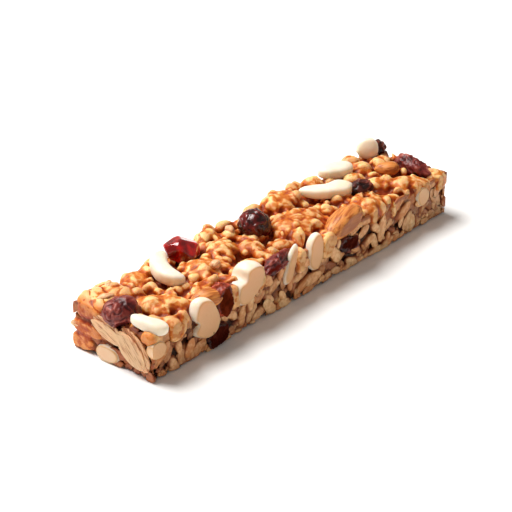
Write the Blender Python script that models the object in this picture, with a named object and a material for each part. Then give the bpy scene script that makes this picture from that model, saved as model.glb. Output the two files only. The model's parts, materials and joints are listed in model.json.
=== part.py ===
# A cereal bar of puffed grains, oat flakes, nuts and dried fruit, cut from a pressed slab.
# The bar lies along X on its flat base. Lengths in this file are millimetres, turns are degrees.

import math
import random

import bmesh
import bpy
from mathutils import Euler, Matrix, Vector, noise
from mathutils.kdtree import KDTree

MM = 0.001

# The cut block: the knife left flat sides and ends, and the tray left a flat base.
BAR_LENGTH = 125.0
BAR_WIDTH = 28.6
BAR_HEIGHT = 13.9
HEADROOM = 30.0

# The syrup core that holds the grains, a little inside the cut faces. It starts below the base,
# where the knife trims it flat, and its lower and upper edges are eased.
CORE_RECESS = 1.3
CORE_SINK = 2.0
CORE_TOP = BAR_HEIGHT - 2.6
CORE_EASE = (1.2, 0.4, 1.0)
CORE_LEVELS = (1.2, 5.0, 9.0)
CORE_STATIONS = 25
CORE_STRIPS = 5
CORE_LUMP = 0.9
LUMP_PITCH = 0.21

# Gap between a nut or fruit and the pocket it sits in.
POCKET_GAP = 0.36

# Grains fused on the cut faces, at the corners and in the gaps of the top.
GRAIN_SIZE = (6.2, 3.4, 3.2)
GRAIN_SIDES = (6, 4)
GRAIN_PITCH = 5.6
GRAIN_DEPTH = 0.35
GRAIN_ROWS = (1.8, 6.2, 10.6)
GRAIN_TILTS = (0.0, 25.0, 60.0, 90.0, 120.0, 155.0)
GRAIN_CLEARANCE = 0.6
CORNER_SIZE = (5.4, 4.0, 4.0)
CORNER_DEPTH = 1.2
TOP_PITCH = 6.4
TOP_ROWS = 4
TOP_LEVEL = CORE_TOP + 0.4
TOP_CLEARANCE = 0.42

# Edges shorter than this are closed up after the cuts, and points that touch are moved this far.
SLIVER = 0.02

# The fused body is evened out at this size and thinned to so many triangles before it is trimmed.
EVEN_SIZE = 0.7
FUSED_TRIANGLES = 5400

SEED = 11
GOLDEN_ANGLE = math.radians(137.5)

# Glazed clusters on the top: x, y, length, width, turn, top above the bar's height, knobs.
CLUSTERS = (
    (-44.0, 9.6, 9.5, 8.5, 60.0, 1.4, 4),
    (-36.6, 12.0, 5.5, 4.5, 0.0, 1.4, 1),
    (-49.2, -4.8, 17.0, 8.0, -49.0, 2.4, 5),
    (-53.4, -11.4, 8.5, 6.0, -30.0, 1.0, 3),
    (-28.0, 0.2, 13.0, 9.5, -49.0, 2.2, 5),
    (-35.5, -6.8, 15.0, 5.4, 12.0, 1.8, 3),
    (-17.6, 3.2, 9.5, 9.0, 20.0, 2.8, 4),
    (-11.6, -1.8, 8.5, 5.8, -30.0, 2.2, 2),
    (-17.6, -7.4, 8.0, 5.0, -40.0, 1.2, 3),
    (-11.4, -7.8, 4.0, 4.0, 0.0, 1.0, 1),
    (-14.3, 11.8, 9.5, 5.4, 12.0, 2.2, 3),
    (-6.4, 12.2, 6.5, 4.4, 0.0, 1.6, 1),
    (-9.4, 7.6, 4.8, 3.8, -49.0, 1.6, 1),
    (4.8, 12.0, 7.5, 5.4, 0.0, 1.8, 2),
    (14.0, 9.6, 13.0, 9.5, 10.0, 3.2, 5),
    (6.8, -2.4, 18.5, 12.5, 14.0, 3.0, 8),
    (-4.2, -6.6, 7.5, 5.0, -49.0, 1.4, 2),
    (18.8, -2.4, 8.5, 6.0, -30.0, 1.8, 2),
    (24.5, 13.0, 7.5, 5.0, 0.0, 1.8, 2),
    (30.6, 11.4, 6.0, 6.0, 0.0, 2.0, 2),
    (40.2, 3.8, 7.5, 6.0, -49.0, 1.8, 2),
    (41.0, 13.0, 5.0, 3.8, 0.0, 1.0, 1),
    (48.6, 11.6, 7.0, 5.4, 0.0, 2.2, 2),
    (47.2, 6.0, 7.0, 6.0, -49.0, 2.0, 2),
    (55.0, 5.4, 7.5, 6.0, -20.0, 1.6, 3),
    (42.8, -3.6, 8.5, 5.6, -49.0, 2.0, 2),
    (48.4, -9.6, 13.5, 7.4, -40.0, 2.0, 5),
    (58.6, -11.2, 8.0, 7.0, -60.0, 1.4, 2),
    (60.4, 1.2, 5.0, 5.0, 0.0, 1.2, 1),
    (28.6, -10.0, 12.0, 9.0, 8.0, 2.2, 5),
    (37.0, -10.8, 6.0, 6.5, 0.0, 0.6, 2),
    (6.8, -12.4, 5.0, 4.4, 0.0, 0.4, 1),
    (-4.6, -12.4, 4.4, 4.2, 0.0, 0.4, 1),
    (-31.2, -12.0, 3.6, 4.2, 0.0, 0.4, 1),
    (-20.6, -11.6, 4.6, 4.4, 0.0, 0.4, 1),
    (-36.0, 3.4, 5.0, 5.0, 0.0, 0.2, 1),
    (24.4, 8.4, 6.0, 5.0, 0.0, 0.6, 2),
)
DOME_HEIGHT = 8.4
DOME_SINK = 0.7
KNOB_SIZE = (5.0, 3.9, 3.7)
KNOB_RISE = 0.9

# Oat flakes and a thick slab of oats pressed into the near end: place, size, turns, squareness.
FLAKES = (
    ((-56.4, 8.4, 12.0), (14.4, 12.4, 6.6), (0.0, 0.0, 4.0), 0.55),
    ((-61.8, 0.4, 9.6), (3.0, 12.4, 4.4), (8.0, 0.0, 0.0), 1.0),
    ((-61.6, -8.4, 7.6), (3.2, 5.6, 11.0), (14.0, 0.0, 0.0), 1.0),
    ((-60.8, 9.2, 6.8), (5.0, 11.4, 4.2), (0.0, 0.0, 0.0), 0.7),
    ((-60.4, 11.0, 2.6), (5.4, 8.4, 5.2), (-8.0, 0.0, 0.0), 0.7),
)

BINDER = ((0.30, 0.10, 0.03), 0.45)
CREAM = ((0.83, 0.69, 0.50), 0.5)
SKIN = ((0.52, 0.21, 0.06), 0.5)
PLUM = ((0.16, 0.02, 0.03), 0.3)
RUBY = ((0.35, 0.01, 0.01), 0.12)
DATE = ((0.12, 0.03, 0.015), 0.5)

# Nuts: name, place, length, width, thickness, bend, taper, turns (about X, Y, Z), cut flush, finish.
NUTS = (
    ("cashew_front", (-59.4, -10.4, 14.4), 10.6, 5.2, 4.4, -34.0, 0.3, (0.0, 8.0, -70.0), False, CREAM),
    ("cashew_crescent", (-38.0, 4.6, 15.6), 15.6, 5.0, 4.4, 118.0, 0.1, (0.0, -6.0, 68.0), False, CREAM),
    ("cashew_long", (26.6, 3.2, 14.9), 16.0, 7.0, 4.8, -44.0, 0.8, (0.0, 0.0, -33.0), False, CREAM),
    ("cashew_oval", (38.8, 9.4, 15.0), 11.0, 6.8, 4.4, 0.0, 0.3, (0.0, 0.0, -24.0), False, CREAM),
    ("cashew_back", (55.3, 10.6, 16.0), 6.6, 6.2, 4.0, 0.0, 0.1, (80.0, 0.0, -44.0), False, CREAM),
    ("cashew_edge_near", (-42.9, -12.7, 9.9), 11.8, 9.2, 7.6, 40.0, 0.5, (90.0, 76.0, 0.0), True, CREAM),
    ("cashew_edge_middle", (-25.7, -11.8, 12.5), 12.0, 8.6, 9.0, -44.0, 0.2, (90.0, -40.0, 0.0), True, CREAM),
    ("cashew_edge_far", (1.4, -13.2, 11.3), 10.8, 5.8, 4.6, 0.0, 0.1, (90.0, 97.0, 0.0), True, CREAM),
    ("almond_far", (16.0, -10.8, 13.2), 17.6, 9.2, 6.8, 0.0, 0.6, (-34.0, -8.0, 10.0), True, SKIN),
    ("almond_near", (-38.9, -10.8, 13.4), 9.0, 5.8, 4.6, 0.0, 0.5, (0.0, 0.0, -24.0), True, SKIN),
    ("almond_back", (50.6, -0.4, 14.3), 7.6, 5.0, 4.2, 0.0, 0.5, (0.0, 0.0, -40.0), False, SKIN),
    ("almond_sliver", (-9.0, -13.4, 11.6), 11.4, 3.6, 2.4, 0.0, 0.2, (90.0, 112.0, 0.0), True, CREAM),
    ("peanut_corner", (-60.4, -13.4, 8.8), 5.8, 4.8, 4.6, 0.0, 0.2, (90.0, 10.0, 20.0), True, CREAM),
    ("peanut_end", (-61.2, 2.0, 2.2), 8.2, 5.0, 4.8, 0.0, 0.2, (0.0, 6.0, 90.0), True, CREAM),
    ("nut_side_far", (50.0, -13.2, 10.0), 6.2, 5.0, 5.0, 0.0, 0.2, (90.0, 60.0, 0.0), True, CREAM),
    ("cashew_rear_left", (-22.0, 12.4, 7.6), 13.0, 7.6, 6.4, 46.0, 0.3, (90.0, 24.0, 0.0), True, CREAM),
    ("cashew_rear_right", (34.0, 12.6, 5.4), 12.0, 7.0, 6.0, 40.0, 0.3, (90.0, -30.0, 0.0), True, CREAM),
    ("almond_rear", (8.0, 12.6, 6.4), 15.0, 8.0, 6.0, 0.0, 0.6, (90.0, 18.0, 0.0), True, SKIN),
    ("cashew_far_end", (61.0, 4.2, 7.8), 10.0, 6.6, 6.0, 20.0, 0.2, (30.0, 0.0, 90.0), True, CREAM),
)

# Dried fruit: name, place, size, turns, wrinkle, cut flush, finish.
FRUITS = (
    ("cranberry_front", (-58.6, -0.2, 13.9), (10.2, 9.8, 8.0), (0.0, 0.0, 20.0), 0.11, False, PLUM),
    ("cranberry_jelly", (-26.8, 9.2, 15.0), (8.8, 8.6, 6.8), (0.0, 10.0, -20.0), 0.05, False, RUBY),
    ("cranberry_round", (-3.5, 3.9, 15.4), (9.4, 9.2, 8.8), (0.0, 0.0, 40.0), 0.05, False, PLUM),
    ("raisin_back", (58.4, 11.2, 14.6), (9.0, 4.6, 5.6), (0.0, 0.0, -44.0), 0.12, False, PLUM),
    ("raisin_middle", (35.0, -2.6, 14.4), (8.2, 5.6, 5.0), (0.0, 0.0, -20.0), 0.12, False, PLUM),
    ("raisin_far", (56.6, -5.2, 14.4), (13.0, 6.2, 5.2), (0.0, 4.0, -98.0), 0.12, False, PLUM),
    ("date_edge", (-35.0, -12.2, 11.6), (6.8, 7.0, 10.0), (0.0, 0.0, 0.0), 0.10, True, DATE),
    ("cranberry_strip", (-13.2, -12.2, 13.2), (14.6, 4.4, 4.8), (0.0, -4.0, 10.0), 0.12, True, PLUM),
    ("raisin_side", (16.2, -13.0, 7.8), (9.6, 4.6, 5.6), (0.0, 4.0, 0.0), 0.12, True, PLUM),
    ("raisin_low", (-38.2, -12.8, 2.8), (8.8, 6.0, 6.4), (0.0, 0.0, 0.0), 0.12, True, PLUM),
    ("raisin_rear_left", (-44.0, 12.8, 5.6), (9.0, 5.4, 6.6), (0.0, 20.0, 0.0), 0.12, True, PLUM),
    ("cranberry_rear", (54.0, 12.6, 5.0), (8.4, 5.6, 6.2), (0.0, -10.0, 0.0), 0.10, True, PLUM),
    ("raisin_far_end", (61.0, -7.4, 5.6), (5.0, 8.4, 6.0), (10.0, 0.0, 0.0), 0.12, True, PLUM),
)


def clear_scene():
    for thing in list(bpy.data.objects):
        bpy.data.objects.remove(thing, do_unlink=True)


def new_collection(name):
    collection = bpy.data.collections.new(name)
    bpy.context.scene.collection.children.link(collection)
    return collection


def material(name, finish):
    colour, roughness = finish
    made = bpy.data.materials.new(name)
    made.use_nodes = True
    shader = made.node_tree.nodes["Principled BSDF"]
    shader.inputs["Base Color"].default_value = (*colour, 1.0)
    shader.inputs["Roughness"].default_value = roughness
    return made


def turned(turns):
    return Euler([math.radians(turn) for turn in turns]).to_matrix().to_4x4()


def place_body(shape, name, place, turns, collection):
    # Turns and moves a shape made in millimetres, and links it as an object in metres.
    shape.transform(Matrix.Scale(MM, 4) @ Matrix.Translation(place) @ turned(turns))
    if shape.calc_volume(signed=True) < 0.0:
        bmesh.ops.reverse_faces(shape, faces=shape.faces)
    mesh = bpy.data.meshes.new(name)
    shape.to_mesh(mesh)
    shape.free()
    body = bpy.data.objects.new(name, mesh)
    collection.objects.link(body)
    return body


def ellipsoid(size, segments, rings):
    # The poles lie on X, so that a long grain has pointed ends.
    shape = bmesh.new()
    bmesh.ops.create_uvsphere(shape, u_segments=segments, v_segments=rings, radius=0.5)
    shape.transform(Matrix.Diagonal((*size, 1.0)) @ Matrix.Rotation(math.radians(90.0), 4, "Y"))
    return shape


def grain(size):
    return ellipsoid(size, *GRAIN_SIDES)


def squared(shape, size, squareness):
    # Pushes an ellipsoid towards a box with round edges; a squareness of 1 leaves it as it is.
    for point in shape.verts:
        unit = [2.0 * point.co[axis] / size[axis] for axis in range(3)]
        for axis in range(3):
            stretched = math.copysign(abs(unit[axis]) ** squareness, unit[axis])
            point.co[axis] = stretched * size[axis] / 2.0


def bean(length, width, thickness, bend, taper):
    # A kernel bent along an arc in its own XY plane; taper makes the -X end slimmer.
    shape = ellipsoid((length, width, thickness), 8, 7)
    arc = math.radians(bend)
    for point in shape.verts:
        along = point.co.x / length
        fullness = 1.0 + taper * along * 1.2
        side = point.co.y * fullness
        up = point.co.z * (1.0 + 0.4 * taper * along)
        if abs(arc) < 0.01:
            point.co = Vector((point.co.x, side, up))
            continue
        radius = length / arc
        angle = along * arc
        sag = radius * (1.0 - math.cos(arc / 4.0))
        point.co.x = (radius + side) * math.sin(angle)
        point.co.y = (radius + side) * math.cos(angle) - radius + sag
        point.co.z = up
    return shape


def wrinkled(size, wrinkle, seed):
    # A shrunken fruit: an ellipsoid pushed in and out by folds that run along it.
    shape = ellipsoid(size, 8, 6)
    shift = Vector((seed * 3.1, seed * 1.7, 0.0))
    for point in shape.verts:
        unit = Vector((point.co.x / size[0], point.co.y / size[1], point.co.z / size[2])) * 2.0
        fold = noise.noise(Vector((unit.x * 0.8, unit.y * 1.6, unit.z * 1.6)) + shift)
        point.co *= 1.0 + wrinkle * fold * 2.0
    return shape


def block():
    # The space between the knife cuts and above the tray.
    shape = bmesh.new()
    bmesh.ops.create_cube(shape, size=1.0)
    shape.transform(Matrix.Diagonal((BAR_LENGTH, BAR_WIDTH, HEADROOM, 1.0)))
    return shape


def settle(body):
    # Applies the modifiers on a body.
    bpy.context.view_layer.update()
    graph = bpy.context.evaluated_depsgraph_get()
    mesh = bpy.data.meshes.new_from_object(body.evaluated_get(graph))
    body.modifiers.clear()
    body.data = mesh


def combine(body, operation, other=None, group=None, solver="EXACT"):
    cut = body.modifiers.new(operation.lower(), "BOOLEAN")
    cut.operation = operation
    cut.solver = solver
    cut.use_self = group is not None
    if group is None:
        cut.object = other
    else:
        cut.operand_type = "COLLECTION"
        cut.collection = group
    settle(body)


def simplify(body, triangles):
    # Evens out the fused surface, then keeps about so many triangles of it.
    even = body.modifiers.new("even", "REMESH")
    even.mode = "VOXEL"
    even.voxel_size = EVEN_SIZE * MM
    settle(body)
    thin = body.modifiers.new("thin", "DECIMATE")
    thin.ratio = triangles / (2.0 * len(body.data.polygons))
    settle(body)


def discard(group):
    for thing in list(group.objects):
        bpy.data.objects.remove(thing, do_unlink=True)


def grown(body, gap, name, collection):
    # A copy of a body, swollen by the gap, to cut its pocket with.
    shape = bmesh.new()
    shape.from_mesh(body.data)
    shape.normal_update()
    moves = [(point, point.normal * gap * MM) for point in shape.verts]
    for point, move in moves:
        point.co += move
    mesh = bpy.data.meshes.new(name)
    shape.to_mesh(mesh)
    shape.free()
    copy = bpy.data.objects.new(name, mesh)
    collection.objects.link(copy)
    return copy


def bounds(body):
    points = [body.matrix_world @ point.co for point in body.data.vertices]
    low = Vector([min(point[axis] for point in points) for axis in range(3)])
    high = Vector([max(point[axis] for point in points) for axis in range(3)])
    return low, high


def boxes_meet(first, second):
    low_a, high_a = bounds(first)
    low_b, high_b = bounds(second)
    return all(low_a[axis] < high_b[axis] and low_b[axis] < high_a[axis] for axis in range(3))


def keep_largest_shell(body):
    # Closes up slivers, then drops loose scraps and the walls of sealed hollows.
    shape = bmesh.new()
    shape.from_mesh(body.data)
    bmesh.ops.dissolve_degenerate(shape, dist=SLIVER * MM, edges=shape.edges)
    bmesh.ops.triangulate(shape, faces=shape.faces)
    waiting = set(shape.faces)
    shells = []
    while waiting:
        shell = set()
        front = [waiting.pop()]
        while front:
            face = front.pop()
            shell.add(face)
            for edge in face.edges:
                if len(edge.link_faces) != 2:
                    continue
                for neighbour in edge.link_faces:
                    if neighbour in waiting:
                        waiting.remove(neighbour)
                        front.append(neighbour)
        shells.append(shell)
    shells.sort(key=lambda shell: sum(face.calc_area() for face in shell))
    scraps = [face for shell in shells[:-1] for face in shell]
    bmesh.ops.delete(shape, geom=scraps, context="FACES")
    loose = [point for point in shape.verts if not point.link_faces]
    bmesh.ops.delete(shape, geom=loose, context="VERTS")
    shape.to_mesh(body.data)
    shape.free()


def part_touching(body):
    # Where the surface meets itself at a point, draws both sides a little inwards.
    shape = bmesh.new()
    shape.from_mesh(body.data)
    shape.normal_update()
    shape.verts.ensure_lookup_table()
    tree = KDTree(len(shape.verts))
    for point in shape.verts:
        tree.insert(point.co, point.index)
    tree.balance()
    touching = set()
    for point in shape.verts:
        near = tree.find_range(point.co, SLIVER * MM / 10.0)
        if len(near) > 1:
            touching.add(point.index)
    for index in touching:
        point = shape.verts[index]
        point.co -= point.normal * SLIVER * MM
    shape.to_mesh(body.data)
    shape.free()


def core_slab(collection):
    # The syrup core: a lumpy slab lofted along X from one lumpy outline.
    half = BAR_WIDTH / 2.0 - CORE_RECESS
    foot_ease, low_ease, top_ease = CORE_EASE
    low, middle, high = CORE_LEVELS
    right = [(half * 0.5, -CORE_SINK), (half - foot_ease, -CORE_SINK), (half - low_ease, low)]
    right += [(half, middle), (half, high), (half - top_ease, CORE_TOP)]
    outline = list(right)
    for step in range(1, CORE_STRIPS):
        outline.append(((half - top_ease) * (1.0 - 2.0 * step / CORE_STRIPS), CORE_TOP))
    outline += [(-y, z) for y, z in reversed(right)]
    shape = bmesh.new()
    reach = BAR_LENGTH / 2.0 - CORE_RECESS
    stations = []
    for station in range(CORE_STATIONS + 1):
        x = reach * (2.0 * station / CORE_STATIONS - 1.0)
        ring = []
        for y, z in outline:
            lump = noise.noise(Vector((x, y, z)) * LUMP_PITCH) * CORE_LUMP * 2.0
            outward = Vector((0.0, y, z - BAR_HEIGHT / 2.0)).normalized()
            spot = Vector((x, y, z))
            if z > 0.0:
                spot += outward * lump
            ring.append(shape.verts.new(spot))
        stations.append(ring)
    count = len(outline)
    for near, far in zip(stations, stations[1:]):
        for index in range(count):
            after = (index + 1) % count
            shape.faces.new((near[index], near[after], far[after], far[index]))
    shape.faces.new(stations[0])
    shape.faces.new(stations[-1])
    bmesh.ops.triangulate(shape, faces=shape.faces)
    bmesh.ops.recalc_face_normals(shape, faces=shape.faces)
    return place_body(shape, "bar", (0.0, 0.0, 0.0), (0.0, 0.0, 0.0), collection)


def cluster(row, number, collection):
    # A glazed cluster: a dome with knobs of puffed grain set round it by the golden angle.
    x, y, length, width, turn, rise, knobs = row
    draw = random.Random(SEED + number)
    dome_top = BAR_HEIGHT + rise - DOME_SINK
    centre = dome_top - DOME_HEIGHT / 2.0
    dome = ellipsoid((length, width, DOME_HEIGHT), 8, 5)
    place_body(dome, f"dome_{number}", (x, y, centre), (0.0, 0.0, turn), collection)
    heading = math.radians(turn)
    reach_along = max(length - KNOB_SIZE[0], 0.0) / 2.0
    reach_across = max(width - KNOB_SIZE[1], 0.0) / 2.0
    for knob in range(knobs):
        spread = math.sqrt((knob + 0.5) / knobs) if knobs > 1 else 0.0
        angle = knob * GOLDEN_ANGLE + draw.uniform(0.0, 0.6)
        along = spread * reach_along * math.cos(angle)
        across = spread * reach_across * math.sin(angle)
        inside = (2.0 * along / length) ** 2 + (2.0 * across / width) ** 2
        height = centre + DOME_HEIGHT / 2.0 * math.sqrt(1.0 - inside)
        size = [value * draw.uniform(0.85, 1.15) for value in KNOB_SIZE]
        spot = (
            x + along * math.cos(heading) - across * math.sin(heading),
            y + along * math.sin(heading) + across * math.cos(heading),
            height - size[2] / 2.0 + KNOB_RISE,
        )
        turns = (0.0, draw.uniform(-15.0, 15.0), turn + draw.uniform(-60.0, 60.0))
        place_body(grain(size), f"knob_{number}_{knob}", spot, turns, collection)


def taken(spot, toppings):
    # Whether a grain's place falls on a nut or fruit.
    margin = GRAIN_CLEARANCE * MM
    for low, high in toppings:
        if all(low[axis] - margin < spot[axis] * MM < high[axis] + margin for axis in range(3)):
            return True
    return False


def side_grains(toppings, collection):
    # Grains on the long cut faces, in staggered rows with a seeded scatter.
    draw = random.Random(SEED)
    made = 0
    columns = int(BAR_LENGTH / GRAIN_PITCH)
    for side in (-1.0, 1.0):
        for row, level in enumerate(GRAIN_ROWS):
            for column in range(columns):
                offset = (0.25 if row % 2 else 0.75) + draw.uniform(-0.2, 0.2)
                x = (column + offset) * BAR_LENGTH / columns - BAR_LENGTH / 2.0
                z = level + draw.uniform(-0.8, 0.8)
                tilt = draw.choice(GRAIN_TILTS) + draw.uniform(-15.0, 15.0)
                size = [value * draw.uniform(0.82, 1.15) for value in GRAIN_SIZE]
                spot = (x, side * (BAR_WIDTH / 2.0 - GRAIN_DEPTH), z)
                if taken(spot, toppings):
                    continue
                made += 1
                place_body(grain(size), f"grain_{made}", spot, (0.0, tilt, 0.0), collection)


def end_grains(toppings, collection):
    # Grains on the cut ends.
    draw = random.Random(SEED + 1)
    made = 0
    columns = int(BAR_WIDTH / GRAIN_PITCH)
    for end in (-1.0, 1.0):
        for row, level in enumerate(GRAIN_ROWS):
            for column in range(columns):
                offset = (0.3 if row % 2 else 0.7) + draw.uniform(-0.15, 0.15)
                y = (column + offset) * BAR_WIDTH / columns - BAR_WIDTH / 2.0
                z = level + draw.uniform(-0.6, 0.6)
                size = [value * draw.uniform(0.82, 1.15) for value in GRAIN_SIZE]
                tilt = draw.uniform(0.0, 180.0)
                spot = (end * (BAR_LENGTH / 2.0 - GRAIN_DEPTH), y, z)
                if taken(spot, toppings):
                    continue
                made += 1
                place_body(grain(size), f"end_grain_{made}", spot, (tilt, 0.0, 90.0), collection)


def corner_grains(toppings, collection):
    # Upright grains that fill the four upright corners.
    draw = random.Random(SEED + 3)
    for end in (-1.0, 1.0):
        for side in (-1.0, 1.0):
            for level in GRAIN_ROWS:
                x = end * (BAR_LENGTH / 2.0 - CORNER_DEPTH)
                y = side * (BAR_WIDTH / 2.0 - CORNER_DEPTH)
                spot = (x, y, level)
                if taken(spot, toppings):
                    continue
                turns = (draw.uniform(-20.0, 20.0), 90.0, draw.uniform(-20.0, 20.0))
                name = f"corner_{end}_{side}_{level}"
                place_body(grain(CORNER_SIZE), name, spot, turns, collection)


def top_grains(toppings, collection):
    # Single puffs in the gaps between the clusters.
    draw = random.Random(SEED + 2)
    made = 0
    columns = int(BAR_LENGTH / TOP_PITCH)
    for column in range(columns):
        for row in range(TOP_ROWS):
            x = (column + 0.5 + draw.uniform(-0.3, 0.3)) * BAR_LENGTH / columns - BAR_LENGTH / 2.0
            y = (row + 0.5 + draw.uniform(-0.3, 0.3)) * BAR_WIDTH / TOP_ROWS - BAR_WIDTH / 2.0
            turns = (0.0, draw.uniform(-15.0, 15.0), draw.uniform(0.0, 180.0))
            size = [value * draw.uniform(0.8, 1.0) for value in GRAIN_SIZE]
            covered = any(
                math.hypot(x - row[0], y - row[1]) < TOP_CLEARANCE * (row[2] + row[3]) / 2.0
                for row in CLUSTERS
            )
            spot = (x, y, TOP_LEVEL)
            if covered or taken(spot, toppings):
                continue
            made += 1
            place_body(grain(size), f"top_grain_{made}", spot, turns, collection)


def oat_flakes(collection):
    for number, (place, size, turns, squareness) in enumerate(FLAKES):
        shape = ellipsoid(size, 8, 5)
        squared(shape, size, squareness)
        place_body(shape, f"flake_{number}", place, turns, collection)


def make_toppings(knife, collection, pockets):
    # Nuts and fruit, each cut flush where it meets a cut face, each clear of those before it.
    made = []
    rows = []
    for name, place, length, width, thickness, bend, taper, turns, flush, finish in NUTS:
        shape = bean(length, width, thickness, bend, taper)
        rows.append((name, shape, place, turns, flush, finish))
    for number, (name, place, size, turns, wrinkle, flush, finish) in enumerate(FRUITS):
        rows.append((name, wrinkled(size, wrinkle, number), place, turns, flush, finish))
    for name, shape, place, turns, flush, finish in rows:
        body = place_body(shape, name, place, turns, collection)
        earlier = list(pockets.objects)
        grown(body, POCKET_GAP, f"pocket_{name}", pockets)
        if flush:
            combine(body, "INTERSECT", other=knife)
        for cutter in earlier:
            if boxes_meet(body, cutter):
                combine(body, "DIFFERENCE", other=cutter)
        keep_largest_shell(body)
        body.data.materials.clear()
        body.data.materials.append(material(name, finish))
        made.append(body)
    return made


def make_bar(toppings, knife, pockets, collection):
    # Core, clusters and grains fused into one body, trimmed by the knife, with its pockets cut.
    body = core_slab(collection)
    grains = new_collection("grains")
    taken_boxes = [bounds(topping) for topping in toppings]
    for number, row in enumerate(CLUSTERS):
        cluster(row, number, grains)
    side_grains(taken_boxes, grains)
    end_grains(taken_boxes, grains)
    corner_grains(taken_boxes, grains)
    top_grains(taken_boxes, grains)
    oat_flakes(grains)
    combine(body, "UNION", group=grains)
    discard(grains)
    simplify(body, FUSED_TRIANGLES)
    combine(body, "INTERSECT", other=knife, solver="MANIFOLD")
    for cutter in pockets.objects:
        combine(body, "DIFFERENCE", other=cutter, solver="MANIFOLD")
    keep_largest_shell(body)
    part_touching(body)
    body.data.materials.clear()
    body.data.materials.append(material("bar", BINDER))
    return body


def centre_over_base(bodies):
    # The origin is the middle of the base of the whole bar.
    corners = [bounds(body) for body in bodies]
    low = Vector([min(corner[0][axis] for corner in corners) for axis in range(3)])
    high = Vector([max(corner[1][axis] for corner in corners) for axis in range(3)])
    middle = Vector(((low.x + high.x) / 2.0, (low.y + high.y) / 2.0, low.z))
    for body in bodies:
        body.data.transform(Matrix.Translation(-middle))


def main():
    clear_scene()
    parts = new_collection("parts")
    pockets = new_collection("pockets")
    cutters = new_collection("cutters")
    knife = place_body(block(), "knife", (0.0, 0.0, HEADROOM / 2.0), (0.0, 0.0, 0.0), cutters)
    toppings = make_toppings(knife, parts, pockets)
    bar = make_bar(toppings, knife, pockets, parts)
    discard(pockets)
    discard(cutters)
    centre_over_base([bar] + toppings)


main()
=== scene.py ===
# A puffed-grain, nut and fruit bar: glazed clusters on top, pressed grains on the cut faces,
# and whole nuts and dried fruit set into it. Shapes are modelled in millimetres round the bar's
# middle and put into the frame, which is in metres, at the end.

import json
import math
import random

import bmesh
import bpy
import numpy as np
from mathutils import Euler, Matrix, Vector, noise

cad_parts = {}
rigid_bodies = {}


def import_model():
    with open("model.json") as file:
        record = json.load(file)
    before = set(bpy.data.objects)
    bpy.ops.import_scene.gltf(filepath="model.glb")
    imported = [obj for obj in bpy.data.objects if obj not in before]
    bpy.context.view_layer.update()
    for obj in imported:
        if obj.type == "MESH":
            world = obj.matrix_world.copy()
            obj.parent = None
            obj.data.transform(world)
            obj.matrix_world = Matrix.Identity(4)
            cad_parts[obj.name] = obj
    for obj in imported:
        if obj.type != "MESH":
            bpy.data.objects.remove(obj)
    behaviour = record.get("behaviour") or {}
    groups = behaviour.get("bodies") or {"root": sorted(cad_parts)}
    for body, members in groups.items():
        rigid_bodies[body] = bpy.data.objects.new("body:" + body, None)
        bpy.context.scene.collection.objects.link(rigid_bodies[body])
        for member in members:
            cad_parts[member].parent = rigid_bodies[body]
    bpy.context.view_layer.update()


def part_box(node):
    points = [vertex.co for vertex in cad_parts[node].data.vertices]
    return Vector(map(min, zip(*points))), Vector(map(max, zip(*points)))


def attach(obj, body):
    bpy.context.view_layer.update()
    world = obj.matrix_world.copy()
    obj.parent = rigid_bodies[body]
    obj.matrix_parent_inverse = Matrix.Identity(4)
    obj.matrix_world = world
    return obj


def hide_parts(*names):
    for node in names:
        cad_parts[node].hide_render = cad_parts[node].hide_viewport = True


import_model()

barLow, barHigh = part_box("bar")

mm = 0.001
halfLength = (barHigh.x - barLow.x) / 2 / mm
halfWidth = (barHigh.y - barLow.y) / 2 / mm
barMiddle = Vector(((barLow.x + barHigh.x) / 2, (barLow.y + barHigh.y) / 2, 0.0))
barHeight = 13.9  # the pressed slab; clusters and nuts stand above it
goldenAngle = math.radians(137.5)
seed = 11
noise.seed_set(seed + 1)


def sRgb(red, green, blue):
    # A colour as a picker shows it, 0 to 255, made linear.
    def linear(value):
        value /= 255.0
        return value / 12.92 if value <= 0.04045 else ((value + 0.055) / 1.055) ** 2.4
    return (linear(red), linear(green), linear(blue), 1.0)


def turned(turns):
    return Euler([math.radians(turn) for turn in turns]).to_matrix().to_4x4()


def addEllipsoid(shape, size, place=(0.0, 0.0, 0.0), turns=(0.0, 0.0, 0.0), segments=16, rings=10):
    # Poles on X, so that a long grain has pointed ends.
    fit = Matrix.Translation(place) @ turned(turns) @ Matrix.Diagonal((*size, 1.0))
    rows = []
    for ring in range(1, rings):
        lean = math.pi * ring / rings
        spots = [(-math.cos(lean), math.sin(lean) * math.cos(2.0 * math.pi * step / segments),
                  math.sin(lean) * math.sin(2.0 * math.pi * step / segments)) for step in range(segments)]
        rows.append([shape.verts.new(fit @ (Vector(spot) * 0.5)) for spot in spots])
    start = shape.verts.new(fit @ Vector((-0.5, 0.0, 0.0)))
    end = shape.verts.new(fit @ Vector((0.5, 0.0, 0.0)))
    for step in range(segments):
        after = (step + 1) % segments
        shape.faces.new((start, rows[0][after], rows[0][step]))
        for low, high in zip(rows, rows[1:]):
            shape.faces.new((low[step], low[after], high[after], high[step]))
        shape.faces.new((rows[-1][step], rows[-1][after], end))


def pour(own, shape):
    # Adds one finished shape to a larger one.
    mesh = bpy.data.meshes.new("part")
    own.to_mesh(mesh)
    own.free()
    shape.from_mesh(mesh)
    bpy.data.meshes.remove(mesh)


def newPiece(name, shape):
    mesh = bpy.data.meshes.new(name)
    shape.to_mesh(mesh)
    shape.free()
    piece = bpy.data.objects.new(name, mesh)
    bpy.context.scene.collection.objects.link(piece)
    return piece


def settle(piece):
    # Turns the modifiers' result into a plain mesh.
    bpy.context.view_layer.update()
    graph = bpy.context.evaluated_depsgraph_get()
    mesh = bpy.data.meshes.new_from_object(piece.evaluated_get(graph))
    piece.modifiers.clear()
    piece.data = mesh


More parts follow.
